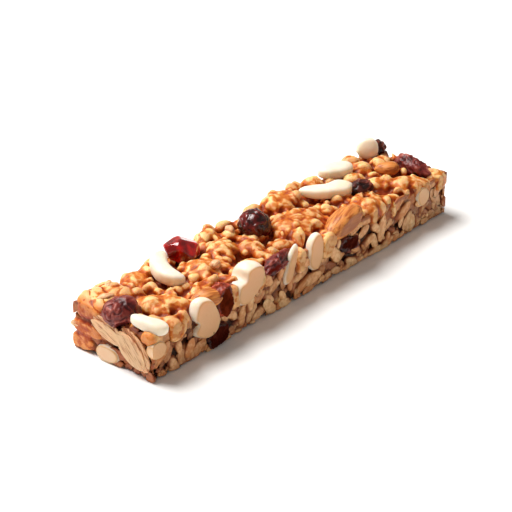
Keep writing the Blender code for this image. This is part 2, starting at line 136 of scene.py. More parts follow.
def finishPiece(piece, finish, slot, *nodes):
    # Puts a finished mesh into the frame, gives it its finish, and hides the parts it stands for.
    piece.data.transform(Matrix.Translation(barMiddle) @ Matrix.Scale(mm, 4))
    piece.data.materials.clear()
    piece.data.materials.append(finish)
    piece.data.polygons.foreach_set("material_index", [0] * len(piece.data.polygons))
    piece.data.polygons.foreach_set("use_smooth", [True] * len(piece.data.polygons))
    piece.data.update()
    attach(piece, "root")
    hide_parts(*nodes)


def pointsOf(mesh):
    points = np.zeros(len(mesh.vertices) * 3, np.float32)
    mesh.vertices.foreach_get("co", points)
    return points.reshape(-1, 3)


def normalsOf(mesh):
    normals = np.zeros(len(mesh.vertices) * 3, np.float32)
    mesh.vertex_normals.foreach_get("vector", normals)
    return normals.reshape(-1, 3)


def relaxed(mesh, points, times):
    # Points averaged with their neighbours, over and over.
    ends = np.zeros(len(mesh.edges) * 2, np.int32)
    mesh.edges.foreach_get("vertices", ends)
    ends = ends.reshape(-1, 2)
    both = np.concatenate([ends, ends[:, ::-1]])
    count = np.maximum(np.bincount(both[:, 0], minlength=len(points)), 1)
    for _ in range(times):
        columns = [
            np.bincount(both[:, 0], weights=points[both[:, 1], axis], minlength=len(points))
            for axis in range(3)
        ]
        points = 0.5 * points + 0.5 * np.stack(columns, axis=1) / count[:, None]
    return points


def storeValue(mesh, name, values):
    layer = mesh.attributes.new(name, "FLOAT", "POINT")
    layer.data.foreach_set("value", np.asarray(values, np.float32))


def addNode(tree, kind, **settings):
    node = tree.nodes.new(kind)
    for name, value in settings.items():
        setattr(node, name, value)
    return node


def live(sockets, name):
    # Sockets of unused types keep their names, so the one in use is picked.
    return next(socket for socket in sockets if socket.enabled and socket.name == name)


def newTree(name, **inputs):
    # A tree with named inputs, and the outputs of its input node.
    tree = bpy.data.node_groups.new(name, "GeometryNodeTree")
    kinds = {"Geometry": "Geometry", **{label.replace("_", " "): kind for label, kind in inputs.items()}}
    for label, kind in {**kinds, "Material": "Material"}.items():
        tree.interface.new_socket(label, in_out="INPUT", socket_type=f"NodeSocket{kind}")
    tree.interface.new_socket("Geometry", in_out="OUTPUT", socket_type="NodeSocketGeometry")
    return tree, addNode(tree, "NodeGroupInput").outputs


def endTree(tree, given, geometry):
    skin = addNode(tree, "GeometryNodeSetMaterial")
    tree.links.new(geometry, skin.inputs["Geometry"])
    tree.links.new(given["Material"], skin.inputs["Material"])
    tree.links.new(skin.outputs["Geometry"], addNode(tree, "NodeGroupOutput").inputs[0])
    return tree


def between(tree, given, low, high, factor, **settings):
    # Mixed from two of the tree's inputs.
    node = addNode(tree, "ShaderNodeMix", **settings)
    for name, source in (("Factor", factor), ("A", given[low]), ("B", given[high])):
        tree.links.new(source, live(node.inputs, name))
    return live(node.outputs, "Result")


def scaled(tree, vector, factor):
    node = addNode(tree, "ShaderNodeVectorMath", operation="SCALE")
    tree.links.new(vector, node.inputs[0])
    tree.links.new(factor, node.inputs["Scale"])
    return node.outputs[0]


def moved(tree, geometry, socket, value):
    node = addNode(tree, "GeometryNodeSetPosition")
    tree.links.new(geometry, node.inputs["Geometry"])
    tree.links.new(value, node.inputs[socket])
    return node.outputs["Geometry"]


def separated(tree, vector):
    node = addNode(tree, "ShaderNodeSeparateXYZ")
    tree.links.new(vector, node.inputs[0])
    return node.outputs


def scatterPoints(tree, given, selection=None):
    points = addNode(tree, "GeometryNodeDistributePointsOnFaces", distribute_method="POISSON")
    points.inputs["Density Max"].default_value = 1.0
    for name, source in (("Mesh", "Geometry"), ("Distance Min", "Spacing"), ("Seed", "Seed")):
        tree.links.new(given[source], points.inputs[name])
    if selection:
        tree.links.new(selection, points.inputs["Selection"])
    return points.outputs


def scatterShapes(tree, points, kernel, depth, turns, size):
    # A kernel on every point, sunk under its face and turned from the face's own direction.
    scatter = addNode(tree, "GeometryNodeInstanceOnPoints")
    inward = scaled(tree, points["Normal"], maths(tree, "MULTIPLY", depth, -1.0))
    spin = addNode(tree, "FunctionNodeRotateEuler", rotation_type="EULER", space="LOCAL")
    tree.links.new(points["Rotation"], spin.inputs["Rotation"])
    tree.links.new(turns, spin.inputs[1])
    tree.links.new(moved(tree, points["Points"], "Offset", inward), scatter.inputs["Points"])
    for name, source in (("Instance", kernel), ("Rotation", spin.outputs[0]), ("Scale", size)):
        tree.links.new(source, scatter.inputs[name])
    return scatter.outputs["Instances"]


def runTree(piece, tree, values):
    # Inputs are set by their identifiers before the first evaluation.
    grow = piece.modifiers.new(tree.name, "NODES")
    grow.node_group = tree
    for item in tree.interface.items_tree:
        if item.item_type == "SOCKET" and item.in_out == "INPUT" and item.name in values:
            grow[item.identifier] = values[item.name]
    settle(piece)


def randomValue(tree, kind, low, high, salt):
    node = addNode(tree, "FunctionNodeRandomValue", data_type=kind)
    live(node.inputs, "Min").default_value = low
    live(node.inputs, "Max").default_value = high
    live(node.inputs, "Seed").default_value = salt
    return live(node.outputs, "Value")


def maths(tree, operation, first, second=None, third=None, clamp=False):
    node = addNode(tree, "ShaderNodeMath", operation=operation, use_clamp=clamp)
    for socket, value in zip(node.inputs, (first, second, third)):
        if value is None:
            continue
        if isinstance(value, (int, float)):
            socket.default_value = value
        else:
            tree.links.new(value, socket)
    return node.outputs[0]


def stepped(tree, value, low, high):
    # 0 at low, 1 at high, smooth between; low may be the larger.
    node = addNode(tree, "ShaderNodeMapRange", interpolation_type="SMOOTHSTEP")
    tree.links.new(value, node.inputs["Value"])
    for name, limit in (("From Min", low), ("From Max", high)):
        if isinstance(limit, (int, float)):
            node.inputs[name].default_value = limit
        else:
            tree.links.new(limit, node.inputs[name])
    return node.outputs["Result"]


def barPlaceGroup():
    # The place on the bar in millimetres, and how deep it lies under the cut faces.
    tree = bpy.data.node_groups.new("bar place", "ShaderNodeTree")
    tree.interface.new_socket("Place", in_out="OUTPUT", socket_type="NodeSocketVector")
    for name in ("Depth", "Side depth", "End depth", "Height"):
        tree.interface.new_socket(name, in_out="OUTPUT", socket_type="NodeSocketFloat")
    out = addNode(tree, "NodeGroupOutput")
    place = addNode(tree, "ShaderNodeTexCoord")
    centred = addNode(tree, "ShaderNodeVectorMath", operation="SUBTRACT")
    centred.inputs[1].default_value = barMiddle
    inMm = addNode(tree, "ShaderNodeVectorMath", operation="SCALE")
    inMm.inputs["Scale"].default_value = 1.0 / mm
    tree.links.new(place.outputs["Object"], centred.inputs[0])
    tree.links.new(centred.outputs[0], inMm.inputs[0])
    axes = separated(tree, inMm.outputs[0])
    fromEnd = maths(tree, "SUBTRACT", halfLength, maths(tree, "ABSOLUTE", axes[0]))
    fromSide = maths(tree, "SUBTRACT", halfWidth, maths(tree, "ABSOLUTE", axes[1]))
    results = {
        "Place": inMm.outputs[0], "Depth": maths(tree, "MINIMUM", fromEnd, fromSide),
        "Side depth": fromSide, "End depth": fromEnd, "Height": axes[2],
    }
    for name, result in results.items():
        tree.links.new(result, out.inputs[name])
    return tree


def mottleGroup():
    # Soft patches: 0 in some places and 1 in others, at a given size.
    tree = bpy.data.node_groups.new("mottle", "ShaderNodeTree")
    tree.interface.new_socket("Place", in_out="INPUT", socket_type="NodeSocketVector")
    for name, value in (("Size", 2.0), ("Detail", 3.0), ("Twist", 0.4), ("Low", 0.4), ("High", 0.6)):
        socket = tree.interface.new_socket(name, in_out="INPUT", socket_type="NodeSocketFloat")
        socket.default_value = value
    tree.interface.new_socket("Mask", in_out="OUTPUT", socket_type="NodeSocketFloat")
    given = addNode(tree, "NodeGroupInput")
    out = addNode(tree, "NodeGroupOutput")
    patches = addNode(tree, "ShaderNodeTexNoise")
    tree.links.new(given.outputs["Place"], patches.inputs["Vector"])
    tree.links.new(maths(tree, "DIVIDE", 1.0, given.outputs["Size"]), patches.inputs["Scale"])
    tree.links.new(given.outputs["Detail"], patches.inputs["Detail"])
    tree.links.new(given.outputs["Twist"], patches.inputs["Distortion"])
    mask = stepped(tree, patches.outputs["Fac"], given.outputs["Low"], given.outputs["High"])
    tree.links.new(mask, out.inputs["Mask"])
    return tree


def finishBase(name, roughness):
    made = bpy.data.materials.new(name)
    made.use_nodes = True
    tree = made.node_tree
    shader = tree.nodes["Principled BSDF"]
    shader.inputs["Roughness"].default_value = roughness
    return made, tree, shader


def mottle(tree, place, **values):
    node = addNode(tree, "ShaderNodeGroup", node_tree=mottleTree)
    tree.links.new(place, node.inputs["Place"])
    for name, value in values.items():
        node.inputs[name].default_value = value
    return node.outputs["Mask"]


def mixed(tree, mask, first, second, blend="MIX", strength=1.0):
    # Colours are tuples or sockets.
    if strength != 1.0:
        mask = maths(tree, "MULTIPLY", mask, strength)
    node = addNode(tree, "ShaderNodeMix", data_type="RGBA", blend_type=blend)
    for socket, value in ((node.inputs[0], mask), (node.inputs[6], first), (node.inputs[7], second)):
        if isinstance(value, (int, float, tuple)):
            socket.default_value = value
        else:
            tree.links.new(value, socket)
    return node.outputs[2]


def ramped(tree, value, stops):
    node = addNode(tree, "ShaderNodeValToRGB")
    ramp = node.color_ramp
    ramp.interpolation = "EASE"
    while len(ramp.elements) < len(stops):
        ramp.elements.new(0.5)
    for element, (position, colour) in zip(ramp.elements, stops):
        element.position = position
        element.color = colour
    tree.links.new(value, node.inputs["Fac"])
    return node.outputs["Color"]


def setSurface(tree, shader, look, colour, height):
    # Gloss, light that sinks in and comes out again, and fine relief, from the finish's own numbers.
    tree.links.new(colour, shader.inputs["Base Color"])
    for name, key in (("Specular IOR Level", "specular"), ("Specular Tint", "sheen"),
                      ("Coat Weight", "coat"), ("Coat Roughness", "coatRoughness")):
        if key in look:
            shader.inputs[name].default_value = look[key]
    weight, tint, reach = look["glow"]
    shader.inputs["Subsurface Weight"].default_value = weight
    shader.inputs["Subsurface Radius"].default_value = tint
    shader.inputs["Subsurface Scale"].default_value = reach * mm
    strength, distance = look["bump"]
    bump = addNode(tree, "ShaderNodeBump")
    bump.inputs["Strength"].default_value = strength
    bump.inputs["Distance"].default_value = distance * mm
    tree.links.new(height, bump.inputs["Height"])
    tree.links.new(bump.outputs["Normal"], shader.inputs["Normal"])


def noised(tree, place, scale, detail=2.0, roughness=0.5):
    node = addNode(tree, "ShaderNodeTexNoise")
    tree.links.new(place, node.inputs["Vector"])
    for name, value in (("Scale", scale), ("Detail", detail), ("Roughness", roughness)):
        node.inputs[name].default_value = value
    return node.outputs["Fac"]


def attribute(tree, name, output="Fac"):
    return addNode(tree, "ShaderNodeAttribute", attribute_name=name).outputs[output]


def barPlace(tree):
    return addNode(tree, "ShaderNodeGroup", node_tree=barPlaceTree).outputs


def streaked(tree, look):
    # Soft streaks that run along the piece.
    along = addNode(tree, "ShaderNodeMapping")
    along.inputs["Scale"].default_value = look["stretch"]
    tree.links.new(attribute(tree, "own", "Vector"), along.inputs["Vector"])
    return mottle(tree, along.outputs[0], **look["streaks"])


barPlaceTree = barPlaceGroup()
mottleTree = mottleGroup()


glaze = {
    "pit": sRgb(132, 40, 2),       # syrup in the crevices, with painted shade
    "slope": sRgb(182, 76, 8),     # caramel on the flanks
    "body": sRgb(212, 122, 40),
    "crown": sRgb(250, 204, 140),  # thin glaze over the puffs' crowns, with a painted highlight
    "sheen": (1.0, 0.80, 0.55, 1.0),
    "end": sRgb(226, 164, 100),    # browner towards the ends: painted shade on the end faces
    "cut": sRgb(190, 134, 84),     # dry puff where the knife went through
    "film": sRgb(132, 66, 24),     # syrup and crumbs between the cut grains, with painted shade
    "core": sRgb(52, 14, 2),       # dark syrup and painted shade deeper in
    "stops": (0.06, 0.34, 0.56, 0.82),  # where pit, slope, body and crown stand on the way up a puff
    "patches": {"Size": 2.2, "Detail": 3.0, "Twist": 0.6, "Low": 0.3, "High": 0.7},
    "patchShift": 0.34,
    "broad": {"Size": 7.0, "Detail": 2.0, "Twist": 0.3, "Low": 0.35, "High": 0.65},
    "speckle": {"Size": 0.7, "Detail": 3.0, "Twist": 0.2, "Low": 0.35, "High": 0.65},
    "broadShare": 0.35, "endShare": 0.85, "cutShare": 0.6, "syrupAndShadeShare": 0.8,
    # Bands in millimetres, each from where it starts to where it is full.
    "lowBand": (14.2, 12.6), "inwardBand": (0.8, 1.6), "lowShift": -0.2,
    "endBand": (2.4, 0.9), "cutBand": (0.35, 0.05), "belowBand": (12.0, 10.0),
    "syrupAndShadeBand": (0.4, 1.1), "coreBand": (0.9, 1.7),
    "speckleRough": 0.22, "cutRough": 0.3,
    "fine": {"scale": 1.9, "detail": 8.0, "roughness": 0.62},
    "roughness": 0.3, "specular": 0.35, "coat": 0.12, "coatRoughness": 0.25,
    "glow": (0.45, (1.0, 0.40, 0.10), 1.3),  # strength, tint, reach in millimetres
    "bump": (0.55, 0.4),                     # strength, depth in millimetres
}


def glazeFinish():
    made, tree, shader = finishBase("caramel glaze", glaze["roughness"])
    place = barPlace(tree)
    crest = attribute(tree, "crest")
    depth, height = place["Depth"], place["Height"]
    patches = mottle(tree, place["Place"], **glaze["patches"])
    uneven = maths(tree, "MULTIPLY_ADD", patches, glaze["patchShift"], -0.5 * glaze["patchShift"])
    # Low places away from the cut faces are shifted darker: painted shade in the valleys between the
    # clusters.
    inward = stepped(tree, depth, *glaze["inwardBand"])
    low = maths(tree, "MULTIPLY", stepped(tree, height, *glaze["lowBand"]), inward)
    uneven = maths(tree, "MULTIPLY_ADD", low, glaze["lowShift"], uneven)
    # The crest sets the colour from pit to crown: syrup and painted shade in the crevices, thin glaze and a
    # painted highlight on the crowns.
    level = maths(tree, "ADD", crest, uneven, clamp=True)
    tones = [glaze[name] for name in ("pit", "slope", "body", "crown")]
    colour = ramped(tree, level, list(zip(glaze["stops"], tones)))
    broad = mottle(tree, place["Place"], **glaze["broad"])
    colour = mixed(tree, broad, colour, glaze["slope"], "MULTIPLY", glaze["broadShare"])
    # Painted shade on the end faces.
    end = stepped(tree, place["End depth"], *glaze["endBand"])
    colour = mixed(tree, end, colour, glaze["end"], "MULTIPLY", glaze["endShare"])
    dry = stepped(tree, place["Side depth"], *glaze["cutBand"])
    colour = mixed(tree, dry, colour, glaze["cut"], strength=glaze["cutShare"])
    # Deeper under the cut faces: syrup, then dark syrup, each with painted shade.
    below = stepped(tree, height, *glaze["belowBand"])
    film = maths(tree, "MULTIPLY", stepped(tree, depth, *glaze["syrupAndShadeBand"]), below)
    colour = mixed(tree, film, colour, glaze["film"], strength=glaze["syrupAndShadeShare"])
    deep = maths(tree, "MULTIPLY", stepped(tree, depth, *glaze["coreBand"]), below)
    colour = mixed(tree, deep, colour, glaze["core"])
    speckle = mottle(tree, place["Place"], **glaze["speckle"])
    rough = maths(tree, "MULTIPLY_ADD", speckle, glaze["speckleRough"], glaze["roughness"])
    rough = maths(tree, "MULTIPLY_ADD", dry, glaze["cutRough"], rough)
    tree.links.new(rough, shader.inputs["Roughness"])
    setSurface(tree, shader, glaze, colour, noised(tree, place["Place"], **glaze["fine"]))
    return made


grain = {
    "pale": sRgb(252, 206, 150),
    "tan": sRgb(204, 130, 70),
    # painted shade on the end faces
    "end": sRgb(194, 146, 102),
    # Syrup with painted shade between the grains, and painted shade deep in the gaps.
    "film": sRgb(150, 72, 22),
    "gap": sRgb(90, 24, 2),
    "patches": {"Size": 1.1, "Detail": 4.0, "Twist": 0.3, "Low": 0.35, "High": 0.65},
    "patchShare": 0.5, "toneShare": 0.75, "flankShare": 0.85, "syrupAndShadeShare": 0.6,
    "flankBand": (0.06, 0.5), "endBand": (2.4, 0.9), "syrupAndShadeBand": (0.5, 1.4), "gapBand": (0.9, 2.0),
    "fine": {"scale": 2.4, "detail": 4.0},
    "roughness": 0.5, "glow": (0.25, (1.0, 0.6, 0.35), 1.0), "bump": (0.5, 0.25),
}


def grainFinish():
    made, tree, shader = finishBase("pressed puffed grain", grain["roughness"])
    place = barPlace(tree)
    tone = attribute(tree, "tone")
    patches = mottle(tree, place["Place"], **grain["patches"])
    own = maths(tree, "MULTIPLY", tone, grain["toneShare"])
    shade = maths(tree, "MULTIPLY_ADD", patches, grain["patchShare"], own, clamp=True)
    colour = mixed(tree, shade, grain["pale"], grain["tan"])
    sunk = attribute(tree, "sunk")
    away = maths(tree, "ABSOLUTE", maths(tree, "SUBTRACT", sunk, attribute(tree, "shave")))
    flank = stepped(tree, away, *grain["flankBand"])
    colour = mixed(tree, flank, colour, grain["film"], strength=grain["flankShare"])
    # Painted shade on the end faces.
    end = stepped(tree, place["End depth"], *grain["endBand"])
    colour = mixed(tree, end, colour, grain["end"], "MULTIPLY")
    # Deeper in, the grains go to syrup with painted shade, then to painted shade in the gaps.
    film = stepped(tree, sunk, *grain["syrupAndShadeBand"])
    colour = mixed(tree, film, colour, grain["film"], strength=grain["syrupAndShadeShare"])
    colour = mixed(tree, stepped(tree, sunk, *grain["gapBand"]), colour, grain["gap"])
    setSurface(tree, shader, grain, colour, noised(tree, place["Place"], **grain["fine"]))
    return made


flake = {
    "pale": sRgb(236, 186, 140),
    "tan": sRgb(170, 92, 50),
    "stretch": (0.22, 1.3, 0.8),
    "streaks": {"Size": 0.9, "Detail": 4.0, "Twist": 0.5, "Low": 0.46, "High": 0.76},
    "roughness": 0.45, "specular": 0.3, "glow": (0.25, (1.0, 0.55, 0.25), 1.0), "bump": (0.4, 0.3),
}


def flakeFinish():
    made, tree, shader = finishBase("oat flake", flake["roughness"])
    streaks = streaked(tree, flake)
    setSurface(tree, shader, flake, mixed(tree, streaks, flake["pale"], flake["tan"]), streaks)
    return made


nutFlesh = {
    "cream": sRgb(248, 230, 210),
    "warm": sRgb(240, 210, 174),
    "scorch": sRgb(206, 146, 84),
    # Painted shade on the flat faces where the knife cut through the nut.
    "slicedShade": sRgb(224, 172, 124),
    "patches": {"Size": 4.0, "Detail": 3.0, "Twist": 0.5, "Low": 0.4, "High": 0.75}, "patchShare": 0.5,
    "fine": {"scale": 1.2, "detail": 4.0},
    "roughness": 0.36, "specular": 0.3, "glow": (0.7, (1.0, 0.82, 0.64), 3.2), "bump": (0.35, 0.2),
}


def nutFinish():
    made, tree, shader = finishBase("cashew flesh", nutFlesh["roughness"])
    own = attribute(tree, "own", "Vector")
    patches = mottle(tree, own, **nutFlesh["patches"])
    colour = mixed(tree, patches, nutFlesh["cream"], nutFlesh["warm"], strength=nutFlesh["patchShare"])
    # Cut faces painted in shade.
    colour = mixed(tree, attribute(tree, "cut"), colour, nutFlesh["slicedShade"])
    colour = mixed(tree, attribute(tree, "rim"), colour, nutFlesh["scorch"])
    setSurface(tree, shader, nutFlesh, colour, noised(tree, own, **nutFlesh["fine"]))
    return made


almondSkin = {
    "light": sRgb(226, 146, 74),
    "dark": sRgb(166, 82, 26),
    # Painted shade on the cut faces: the skin's brown as it looks in shade.
    "fleshShade": sRgb(158, 88, 40), "fleshShadeShare": 0.75,
    "stretch": (0.16, 1.5, 1.5),
    "streaks": {"Size": 1.0, "Detail": 4.0, "Twist": 0.3, "Low": 0.35, "High": 0.68},
    "roughness": 0.42, "specular": 0.3, "coat": 0.12, "coatRoughness": 0.3,
    "glow": (0.15, (1.0, 0.4, 0.1), 0.8), "bump": (0.4, 0.25),
}


def almondFinish():
    made, tree, shader = finishBase("almond skin", almondSkin["roughness"])
    streaks = streaked(tree, almondSkin)
    colour = mixed(tree, streaks, almondSkin["light"], almondSkin["dark"])
    # Cut faces painted in shade.
    colour = mixed(tree, attribute(tree, "cut"), colour, almondSkin["fleshShade"],
                   strength=almondSkin["fleshShadeShare"])
    setSurface(tree, shader, almondSkin, colour, streaks)
    return made


fruitFinishes = {
    "plum": {
        "deep": sRgb(66, 6, 6), "skin": sRgb(112, 34, 28), "ridgeTone": sRgb(164, 84, 70),
        "inside": sRgb(96, 24, 16), "roughness": 0.42, "coat": 0.12, "glowWeight": 0.15, "relief": 0.5,
    },
    "cherry": {
        "deep": sRgb(36, 0, 0), "skin": sRgb(80, 12, 8), "ridgeTone": sRgb(116, 28, 20),
        "inside": sRgb(90, 10, 6), "roughness": 0.22, "coat": 0.45, "glowWeight": 0.15, "relief": 0.2,
    },
    "raisin": {
        "deep": sRgb(36, 6, 2), "skin": sRgb(84, 28, 18), "ridgeTone": sRgb(140, 70, 54),
        "inside": sRgb(58, 16, 8), "roughness": 0.42, "coat": 0.12, "glowWeight": 0.1, "relief": 0.5,
    },
    "date": {
        "deep": sRgb(70, 12, 2), "skin": sRgb(134, 42, 20), "ridgeTone": sRgb(190, 78, 46),
        "inside": sRgb(74, 24, 8), "roughness": 0.46, "coat": 0.08, "glowWeight": 0.05, "relief": 0.5,
    },
}
fruitShared = {
    "patches": {"Size": 2.4, "Detail": 4.0, "Twist": 0.8, "Low": 0.35, "High": 0.7}, "patchShare": 0.5,
    "stops": (0.1, 0.5, 0.95), "crestShift": 0.25, "insideShare": 0.85, "specular": 0.3,
    "coatRoughness": 0.2, "glowTint": (1.0, 0.2, 0.08), "glowReach": 1.0, "reliefDepth": 0.4,
    "fine": {"scale": 1.5, "detail": 4.0},
}


def fruitFinish(name):
    look = {**fruitShared, **fruitFinishes[name]}
    look["glow"] = (look["glowWeight"], look["glowTint"], look["glowReach"])
    look["bump"] = (look["relief"], look["reliefDepth"])
    made, tree, shader = finishBase(f"{name} fruit skin", look["roughness"])
    own = attribute(tree, "own", "Vector")
    cut = attribute(tree, "cut")
    patches = mottle(tree, own, **look["patches"])
    # The colour follows the relief: darkest in the creases, palest on the ridges.
    crest = maths(tree, "SUBTRACT", attribute(tree, "crest"), look["crestShift"])
    level = maths(tree, "MULTIPLY_ADD", patches, look["patchShare"], crest)
    tones = [look[name] for name in ("deep", "skin", "ridgeTone")]
    colour = ramped(tree, level, list(zip(look["stops"], tones)))
    colour = mixed(tree, cut, colour, look["inside"], strength=look["insideShare"])
    setSurface(tree, shader, look, colour, noised(tree, own, **look["fine"]))
    uncut = maths(tree, "SUBTRACT", 1.0, cut)
    for socket, key in (("Specular IOR Level", "specular"), ("Coat Weight", "coat")):
        tree.links.new(maths(tree, "MULTIPLY", uncut, look[key]), shader.inputs[socket])
    return made


jelly = {
    "deep": sRgb(118, 0, 0), "lit": sRgb(214, 20, 12), "roughness": 0.1, "coat": 0.6, "coatRoughness": 0.1,
    "patches": {"Size": 3.4, "Detail": 2.0, "Twist": 0.4, "Low": 0.35, "High": 0.7},
    "glow": (0.7, (1.0, 0.06, 0.02), 2.4), "bump": (0.3, 0.4), "fine": {"scale": 0.5},
}


def jellyFinish():
    made, tree, shader = finishBase("candied fruit", jelly["roughness"])
    own = attribute(tree, "own", "Vector")
    patches = mottle(tree, own, **jelly["patches"])
    colour = mixed(tree, patches, jelly["deep"], jelly["lit"])
    setSurface(tree, shader, jelly, colour, noised(tree, own, **jelly["fine"]))
    return made


glazeMaterial = glazeFinish()
grainMaterial = grainFinish()
flakeMaterial = flakeFinish()
nutMaterial = nutFinish()
almondMaterial = almondFinish()
jellyMaterial = jellyFinish()
fruitMaterials = {name: fruitFinish(name) for name in fruitFinishes}
print("finishes made")


clusters = {
    # x, y, length, width, turn, top above the slab's height, knobs
    "rows": (
        (-44.0, 9.6, 9.5, 8.5, 60.0, 1.4, 4),
        (-36.6, 12.0, 5.5, 4.5, 0.0, 1.4, 1),
        (-49.2, -4.8, 17.0, 8.0, -49.0, 2.4, 5),
        (-53.4, -11.4, 8.5, 6.0, -30.0, 1.0, 3),
        (-28.0, 0.2, 13.0, 9.5, -49.0, 2.2, 5),
        (-35.5, -6.8, 15.0, 5.4, 12.0, 1.8, 3),
        (-17.6, 3.2, 9.5, 9.0, 20.0, 2.8, 4),
        (-11.6, -1.8, 8.5, 5.8, -30.0, 2.2, 2),
        (-17.6, -7.4, 8.0, 5.0, -40.0, 1.2, 3),
        (-11.4, -7.8, 4.0, 4.0, 0.0, 1.0, 1),
        (-14.3, 11.8, 9.5, 5.4, 12.0, 2.2, 3),
        (-6.4, 12.2, 6.5, 4.4, 0.0, 1.6, 1),
        (-9.4, 7.6, 4.8, 3.8, -49.0, 1.6, 1),
        (4.8, 12.0, 7.5, 5.4, 0.0, 1.8, 2),
        (14.0, 9.6, 13.0, 9.5, 10.0, 3.2, 5),
        (6.8, -2.4, 18.5, 12.5, 14.0, 3.0, 8),
        (-4.2, -6.6, 7.5, 5.0, -49.0, 1.4, 2),
        (18.8, -2.4, 8.5, 6.0, -30.0, 1.8, 2),
        (24.5, 13.0, 7.5, 5.0, 0.0, 1.8, 2),
        (30.6, 11.4, 6.0, 6.0, 0.0, 2.0, 2),
        (40.2, 3.8, 7.5, 6.0, -49.0, 1.8, 2),
        (41.0, 13.0, 5.0, 3.8, 0.0, 1.0, 1),
        (48.6, 11.6, 7.0, 5.4, 0.0, 2.2, 2),
        (47.2, 6.0, 7.0, 6.0, -49.0, 2.0, 2),
        (55.0, 5.4, 7.5, 6.0, -20.0, 1.6, 3),
        (42.8, -3.6, 8.5, 5.6, -49.0, 2.0, 2),
        (48.4, -9.6, 13.5, 7.4, -40.0, 2.0, 5),
        (58.6, -11.2, 8.0, 7.0, -60.0, 1.4, 2),
        (60.4, 1.2, 5.0, 5.0, 0.0, 1.2, 1),
        (28.6, -10.0, 12.0, 9.0, 8.0, 2.2, 5),
        (37.0, -10.8, 6.0, 6.5, 0.0, 0.6, 2),
        (6.8, -12.4, 5.0, 4.4, 0.0, 0.4, 1),
        (-4.6, -12.4, 4.4, 4.2, 0.0, 0.4, 1),
        (-31.2, -12.0, 3.6, 4.2, 0.0, 0.4, 1),
        (-20.6, -11.6, 4.6, 4.4, 0.0, 0.4, 1),
        (-36.0, 3.4, 5.0, 5.0, 0.0, 0.2, 1),
        (24.4, 8.4, 6.0, 5.0, 0.0, 0.6, 2),
    ),
    "domeHeight": 6.8,
    "domeSink": 0.75,
    "domeFlat": 0.62,      # how flat the top is pressed
    "borderPitch": 4.2,    # puffs round each cluster's border
    "borderBulge": 0.1,
    "knob": (5.0, 3.9, 3.7),
    "knobRise": 0.35,
    "lobeSpacing": 6.0,
    "lobeSmall": (4.6, 3.8, 2.8),
    "lobeLarge": (7.2, 5.6, 3.8),
    "lobeSink": 1.1,
    "voxel": 0.41,
    "melt": 6,
    "knuckle": 0.42,       # height of the puffs that bulge out of each cluster
    "knuckleSize": 5.4,
    "knuckleEdge": 0.2,    # how tightly they are drawn in where they meet
    "knuckleUneven": 0.25,
    "knuckleRound": 0.7, "knuckleLevel": 0.75,  # how fast a puff falls off, and the level it starts from
    "warp": 0.55,
    "crumbs": 270,         # small puffs and bits between the clusters
    "crumbSize": (4.0, 3.2, 3.0),
    "crumbLevel": 12.6,
    "crinkle": 0.08,
    "crinkleSize": 1.2,
    "fineRings": 8, "fineLight": 2.0,      # how far and how strongly crowns are picked out, finely
    "broadRings": 60, "broadLight": 0.36,  # and broadly
    "margin": 0.1, "ragged": 0.08,         # how far inside the cut faces it stays, and how unevenly
}

slabs = {
    # place, size, turns, squareness: thick slabs of oats pressed into the near end
    "rows": (
        ((-55.6, 8.2, 12.0), (14.2, 12.6, 6.6), (0.0, 0.0, 2.0), 0.55),
        ((-60.8, 9.2, 6.8), (5.0, 11.4, 4.2), (0.0, 0.0, 0.0), 0.7),
        ((-60.4, 11.0, 2.6), (5.4, 8.4, 5.2), (-8.0, 0.0, 0.0), 0.7),
        ((-60.7, -12.0, 11.8), (4.4, 4.4, 4.2), (20.0, 0.0, 0.0), 0.8),
    ),
    # The topmost slab is flatter and paler than the clusters, with oats showing in its top.
    "paler": 0.16, "browner": 0.06, "lines": 2.4,
    "calmEnd": -50.2, "calmSide": 2.6, "calmLevel": 9.6, "calm": 0.9, "topLevel": 13.8,
    "oats": 18, "oatSize": (5.2, 2.9, 1.4), "oatTilt": 12.0,
    "oatMiddle": (-55.6, 8.2, 14.85), "oatReach": (4.4, 3.8),
}

core = {"recess": 1.5, "top": 12.0, "base": 0.25, "lump": 0.55, "lumpSize": 3.6, "step": 1.0}


def addChunk(shape, size, place, turn, draw):
    # A dome pressed flat on top, with a row of puffs bulging round its border.
    pitches = max(round(math.pi * (size[0] + size[1]) / 2.0 / clusters["borderPitch"]), 4)
    phase, second = draw.uniform(0.0, 6.28), draw.uniform(0.0, 6.28)
    own = bmesh.new()
    addEllipsoid(own, (2.0, 2.0, 2.0), segments=48, rings=24)
    for point in own.verts:
        angle = math.atan2(point.co.y, point.co.x)
        puffs = math.cos(pitches * angle + phase) + 0.7 * math.cos((pitches - 2) * angle + second)
        flare = 1.0 + clusters["borderBulge"] * puffs * (1.0 - point.co.z ** 2)
        point.co.x *= flare * size[0] / 2.0
        point.co.y *= flare * size[1] / 2.0
        point.co.z = math.copysign(abs(point.co.z) ** clusters["domeFlat"], point.co.z) * size[2] / 2.0
    own.transform(Matrix.Translation(place) @ turned((0.0, 0.0, turn)))
    pour(own, shape)


